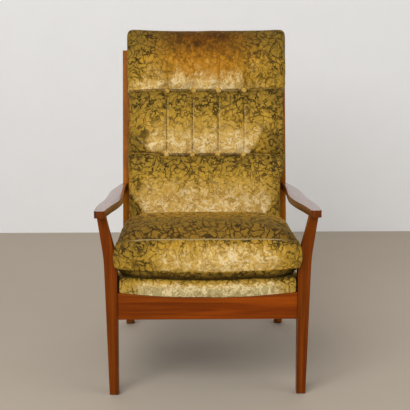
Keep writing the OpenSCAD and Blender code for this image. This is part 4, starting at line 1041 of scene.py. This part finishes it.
class CHAIR_OT_back_cushion(bpy.types.Operator):
    """Make the back cushion with its three rolls, sewn flutes and buttoned creases"""

    bl_idname = "chair.back_cushion"
    bl_label = "Back cushion"

    def execute(self, context):
        fill = context.scene.chair_cushions
        cols, rows = pad_stations()
        uu, ss = np.meshgrid(cols, rows)
        x = uu * pad_half(ss)
        edge = pad_edge(x, ss)
        edge[0, :] = edge[-1, :] = 0
        edge[:, 0] = edge[:, -1] = 0
        centre = PAD_SIDE / 2
        face = centre + (pad_front(x, ss) - centre) * edge
        rear = centre * (1 - edge) + 0.0004
        piece = boxed("back_cushion", on_back(x, -face, ss), [], on_back(x, -rear, ss))
        x, n, s = from_back(points_of(piece))
        low, high = BUTTON_ROWS
        on_row = to_crease(x, s) < 0.0035
        on_flute = (to_flute(x) < 0.0015) & (s > low) & (s < high)
        held = np.where((n < -0.04) & (on_row | on_flute), 1.0, 0.0)
        held = np.where(n > -0.003, 1.0, held)
        puffed(piece, held, fill.puff_cap * 0.7)
        modified(piece, "SUBSURF", levels=1)
        co = points_of(piece)
        x, n, s = from_back(co)
        facing = ease(-0.030, -0.050, n)
        nearest = to_flute(x)
        crease = bell(to_crease(x, s), 0.0035)
        groove = within(low, high, 0.012, s) * bell(nearest, 0.0020)
        over, formed = above_fold(x, s)
        fold = formed * (0.0022 * bell(over - 0.05, 0.07) - 0.0018 * bell(over + 0.07, 0.06))
        rough = waves(co, 8.0, 5.5) * 0.0020 + waves(co, 22.0, 9.1) * 0.0009
        move = (rough + fold - fill.crease * np.minimum(crease + 0.35 * groove, 1)) * facing
        x, n, s = from_back(co + normals_of(piece) * move[:, None])
        # Over the arms it stands out to both sides, more to the right, and is fuller along its top
        free = ease(0.528, 0.552, co[:, 2])
        wide = ease(0.10, 0.24, np.abs(x))
        fuller = ease(0.48, 0.55, s)
        x = x + wide * free * np.where(x > 0, 0.0125 + 0.005 * fuller, -0.0015 - 0.0025 * fuller)
        x = x + (0.002 * free + 0.003 * ease(0.42, 0.49, s)) * (1 - wide)
        s = s + 0.007 * ease(0.60, 0.686, s)
        set_points(piece, on_back(x, n, s))

        low, high = creases(x)
        ends = (PAD_LOW, low, high, PAD_HIGH)
        # Painted light and shade of the nap: each roll darker towards its top and paler towards its bottom
        rolls = [np.interp((s - a) / (b - a), *table) for a, b, table in zip(ends, ends[1:], NAP_LIGHT_OF_ROLLS)]
        painted_nap_light = np.where(s < low, rolls[0], np.where(s < high, rolls[1], rolls[2]))
        painted_nap_light = 0.80 * painted_nap_light + 0.20 * nap_light_of_facing(piece)
        over, formed = above_fold(x, s)
        up_flute = (s - low) / (high - low)
        up_head = (s - high) / (PAD_HIGH - high)
        on_head = ease(0.0, 0.03, up_head)
        out = np.abs(x)
        # Painted shade beside and under the fold by the flutes, towards the sides, in the low corners, at the
        # head's sides, over the flutes on the head, and on all but the face
        beside = ease(0.168, 0.205, out) * ease(0.50, 0.25, up_flute) * ease(0, 0.03, up_flute)
        under = np.maximum(0.8 * formed * ease(0.06, -0.10, over), beside)
        painted_nap_light = painted_nap_light * (1 - under) + 0.28 * under
        painted_nap_light -= 0.12 * ease(0.175, 0.232, out) + 0.02 * (s < high)
        low_corner = out - 0.240 + 0.85 * np.clip(0.170 - s, 0, 0.09)
        painted_nap_light -= 0.40 * ease(0.0, 0.034, low_corner) * ease(0.18, 0.165, s)
        sides = 0.34 * ease(0.105, 0.145, x) + 0.14 * ease(-0.105, -0.145, x)
        painted_nap_light -= on_head * ease(0.42, 0.08, up_head) * sides
        painted_nap_light -= 0.16 * on_head * ease(0.55, 0.20, up_head) * bell(nearest, 0.0045)
        painted_nap_light = np.where(facing > 0.5, painted_nap_light, np.minimum(painted_nap_light, 0.34))
        store(piece, "painted_nap_light", np.clip(painted_nap_light, 0.05, 1))
        worn = ease(0.495, 0.530, s) * bell(x - 0.002, 0.140 + 0.030 * ease(0.53, 0.60, s), 3.2) * facing
        worn *= 1 - 0.25 * ease(0.660, 0.690, s)
        store(piece, "worn", worn)
        store(piece, "brush", 0.25 + 0.30 * worn + 0.40 * on_head * ease(0.40, 0.15, up_head))
        # Painted shadow in the creases and along the flute seams, and painted highlights beside the flute seams and
        # along the fold's ridge
        sewn = ease(low + 0.004, low + 0.012, s) * ease(high - 0.018, high - 0.034, s)
        broken = 0.62 + 0.38 * waves(np.stack([x, 0 * x, s], -1), 70.0, 6.4)
        lit = np.max([bell(x - c - 0.0052, 0.0020) for c in BUTTON_X], axis=0)
        ridge_highlight = formed * bell(over - 0.015, 0.022)
        inner = 1 - 0.6 * ease(0.13, 0.18, out)
        lines = 0.75 * inner * np.clip(crease - 0.25, 0, 1) + 0.85 * sewn * broken * bell(nearest, 0.0016)
        store(piece, "seam", (lines - 0.30 * sewn * lit - 0.20 * ridge_highlight) * facing)
        dress(piece, bpy.data.materials["cut_velvet"])
        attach(piece, FRAME_BODY)
        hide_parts("back_cushion_cover")
        return {"FINISHED"}


BUTTON_RADIUS = 0.0092
BUTTON_SEAT = 0.0012
# Flatness of a button's front and rear, and how far each row stands to the right
BUTTON_FLAT = (0.62, 0.22)
BUTTON_LEAN = (0.001, 0.005)


class CHAIR_OT_buttons(bpy.types.Operator):
    """Make the covered buttons in the creases of the back cushion"""

    bl_idname = "chair.buttons"
    bl_label = "Covered buttons"

    def execute(self, context):
        shells = []
        for row, lean in zip(BUTTON_ROWS, BUTTON_LEAN):
            for c in BUTTON_X:
                button = added("covered_buttons", bpy.ops.mesh.primitive_uv_sphere_add,
                               segments=28, ring_count=16, radius=BUTTON_RADIUS, location=(0, 0, 0))
                across, up, out = points_of(button).T
                pleat = 1 + 0.020 * np.cos(9 * np.arctan2(up, across)) * ease(0.004, 0.0098, np.hypot(across, up))
                out = PIT_FLOOR + BUTTON_SEAT + out * np.where(out > 0, *BUTTON_FLAT)
                set_points(button, on_back(across * pleat + c + lean, -out, up * pleat + row))
                shells.append(button)
        deselect()
        for shell in shells:
            shell.select_set(True)
        context.view_layer.objects.active = shells[0]
        bpy.ops.object.join()
        piece = context.view_layer.objects.active
        piece.name = piece.data.name = "covered_buttons"
        turned_out(piece)
        # Painted light of the nap: paler on the buttons' fronts, painted shade where they sink into their pits
        pit_shade = ease(0.0, 0.0035, from_back(points_of(piece))[1] + PIT_FLOOR + 0.0042)
        store(piece, "painted_nap_light", 0.60 - 0.50 * pit_shade)
        dress(piece, bpy.data.materials["cut_velvet"])
        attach(piece, FRAME_BODY)
        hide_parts("back_buttons")
        return {"FINISHED"}


PANEL_LOW, PANEL_HIGH = 0.034, 0.6115
PANEL_WIDTH = 0.4772
PANEL_DEPTH = 0.0247
CLOTH_THICK = 0.0012


class CHAIR_OT_outside_back(bpy.types.Operator):
    """Cover the outside of the back with the velvet"""

    bl_idname = "chair.outside_back"
    bl_label = "Outside back"

    def execute(self, context):
        piece = added("outside_back_cloth", bpy.ops.mesh.primitive_grid_add,
                      x_subdivisions=60, y_subdivisions=72, size=1, location=(0, 0, 0))
        across, up, _ = points_of(piece).T
        s = PANEL_LOW + (up + 0.5) * (PANEL_HIGH - PANEL_LOW)
        x = across * PANEL_WIDTH
        slack = 0.0016 * waves(np.stack([x, s, 0 * s], -1), 11.0, 2.2)
        n = PANEL_DEPTH + slack * (1 - (2 * across)**8) * (1 - (2 * up)**8)
        set_points(piece, on_back(x, n, s))
        modified(piece, "SOLIDIFY", thickness=CLOTH_THICK, offset=0)
        turned_out(piece)
        bpy.ops.object.shade_smooth_by_angle(angle=math.radians(40))
        store(piece, "painted_nap_light", np.full(len(piece.data.vertices), 0.40))
        dress(piece, bpy.data.materials["cut_velvet"])
        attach(piece, FRAME_BODY)
        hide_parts("outside_back")
        return {"FINISHED"}


class CHAIR_OT_velvet(bpy.types.Operator):
    """Make the velvet that the cushions share"""

    bl_idname = "chair.velvet"
    bl_label = "Velvet"

    def execute(self, context):
        velvet("cut_velvet", context.scene.chair_velvet)
        return {"FINISHED"}


STAGE_SIZE = 16
LAMP_AIM = Vector((0, 0, 0.5))
WORLD_LIGHT = {"Color": (1.0, 0.985, 0.96, 1), "Strength": 0.45}
SENSOR_WIDTH = 36
# Focal length and width of the picture in its pixels
FOCAL, PICTURE = 1100, 410
CAMERA_PLACE = (-0.0585, -2.9595 - MID_Y, 1.29488)
CAMERA_TURN = (math.pi / 2 - 0.241712, 0, -0.017136)


class CHAIR_OT_stage(bpy.types.Operator):
    """Add the floor, the backdrop, the lights and the camera"""

    bl_idname = "chair.stage"
    bl_label = "Studio"

    def execute(self, context):
        stage = context.scene.chair_stage
        for name, tint, place, turn in (
            ("floor", stage.floor, (0, 0, 0), (0, 0, 0)),
            ("backdrop", stage.wall, (0, stage.wall_y, 3), (math.pi / 2, 0, 0)),
        ):
            piece = added(name, bpy.ops.mesh.primitive_plane_add, size=STAGE_SIZE, location=place, rotation=turn)
            dress(piece, painted(name, tint))
        for name, power, size, place in (
            ("key_light", stage.key_light, 2.6, (-1.3, -2.9, 2.9)),
            ("fill_light", stage.fill_light, 2.2, (2.6, -1.6, 1.8)),
        ):
            lamp = bpy.data.lights.new(name, "AREA")
            lamp.shape = "SQUARE"
            lamp.size = size
            lamp.energy = power
            light = linked(name, lamp)
            light.location = place
            light.rotation_euler = (LAMP_AIM - Vector(place)).to_track_quat("-Z", "Y").to_euler()
        world = bpy.data.worlds.new("studio")
        world.use_nodes = True
        for key, value in WORLD_LIGHT.items():
            world.node_tree.nodes["Background"].inputs[key].default_value = value
        context.scene.world = world
        context.scene.view_settings.view_transform = "Standard"

        lens = bpy.data.cameras.new("camera")
        lens.sensor_width = SENSOR_WIDTH
        lens.lens = SENSOR_WIDTH * FOCAL / PICTURE
        camera = linked("camera", lens)
        camera.location = CAMERA_PLACE
        camera.rotation_euler = CAMERA_TURN
        context.scene.camera = camera
        return {"FINISHED"}


STEPS = (
    CHAIR_OT_stage,
    CHAIR_OT_velvet,
    CHAIR_OT_woodwork,
    CHAIR_OT_inner_frame,
    CHAIR_OT_platform,
    CHAIR_OT_seat_cushion,
    CHAIR_OT_back_cushion,
    CHAIR_OT_buttons,
    CHAIR_OT_outside_back,
)
GROUPS = {
    "chair_wood": ChairWood,
    "chair_velvet": ChairVelvet,
    "chair_cushions": ChairCushions,
    "chair_stage": ChairStage,
}


class CHAIR_PT_panel(bpy.types.Panel):
    """Sizes, colours and steps of the chair"""

    bl_idname = "CHAIR_PT_panel"
    bl_label = "Fireside Chair"
    bl_space_type = "VIEW_3D"
    bl_region_type = "UI"
    bl_category = "Chair"

    def draw(self, context):
        for name, group in GROUPS.items():
            box = self.layout.box()
            for key in group.__annotations__:
                box.prop(getattr(context.scene, name), key)
        for step in STEPS:
            self.layout.operator(step.bl_idname)


def register():
    for name, group in GROUPS.items():
        bpy.utils.register_class(group)
        setattr(bpy.types.Scene, name, bpy.props.PointerProperty(type=group))
    for made in (*STEPS, CHAIR_PT_panel):
        bpy.utils.register_class(made)


def unregister():
    for made in reversed((*STEPS, CHAIR_PT_panel)):
        bpy.utils.unregister_class(made)
    for name, group in GROUPS.items():
        delattr(bpy.types.Scene, name)
        bpy.utils.unregister_class(group)


def main():
    register()
    for step in STEPS:
        category, name = step.bl_idname.split(".")
        getattr(getattr(bpy.ops, category), name)()


if __name__ == "__main__":
    main()
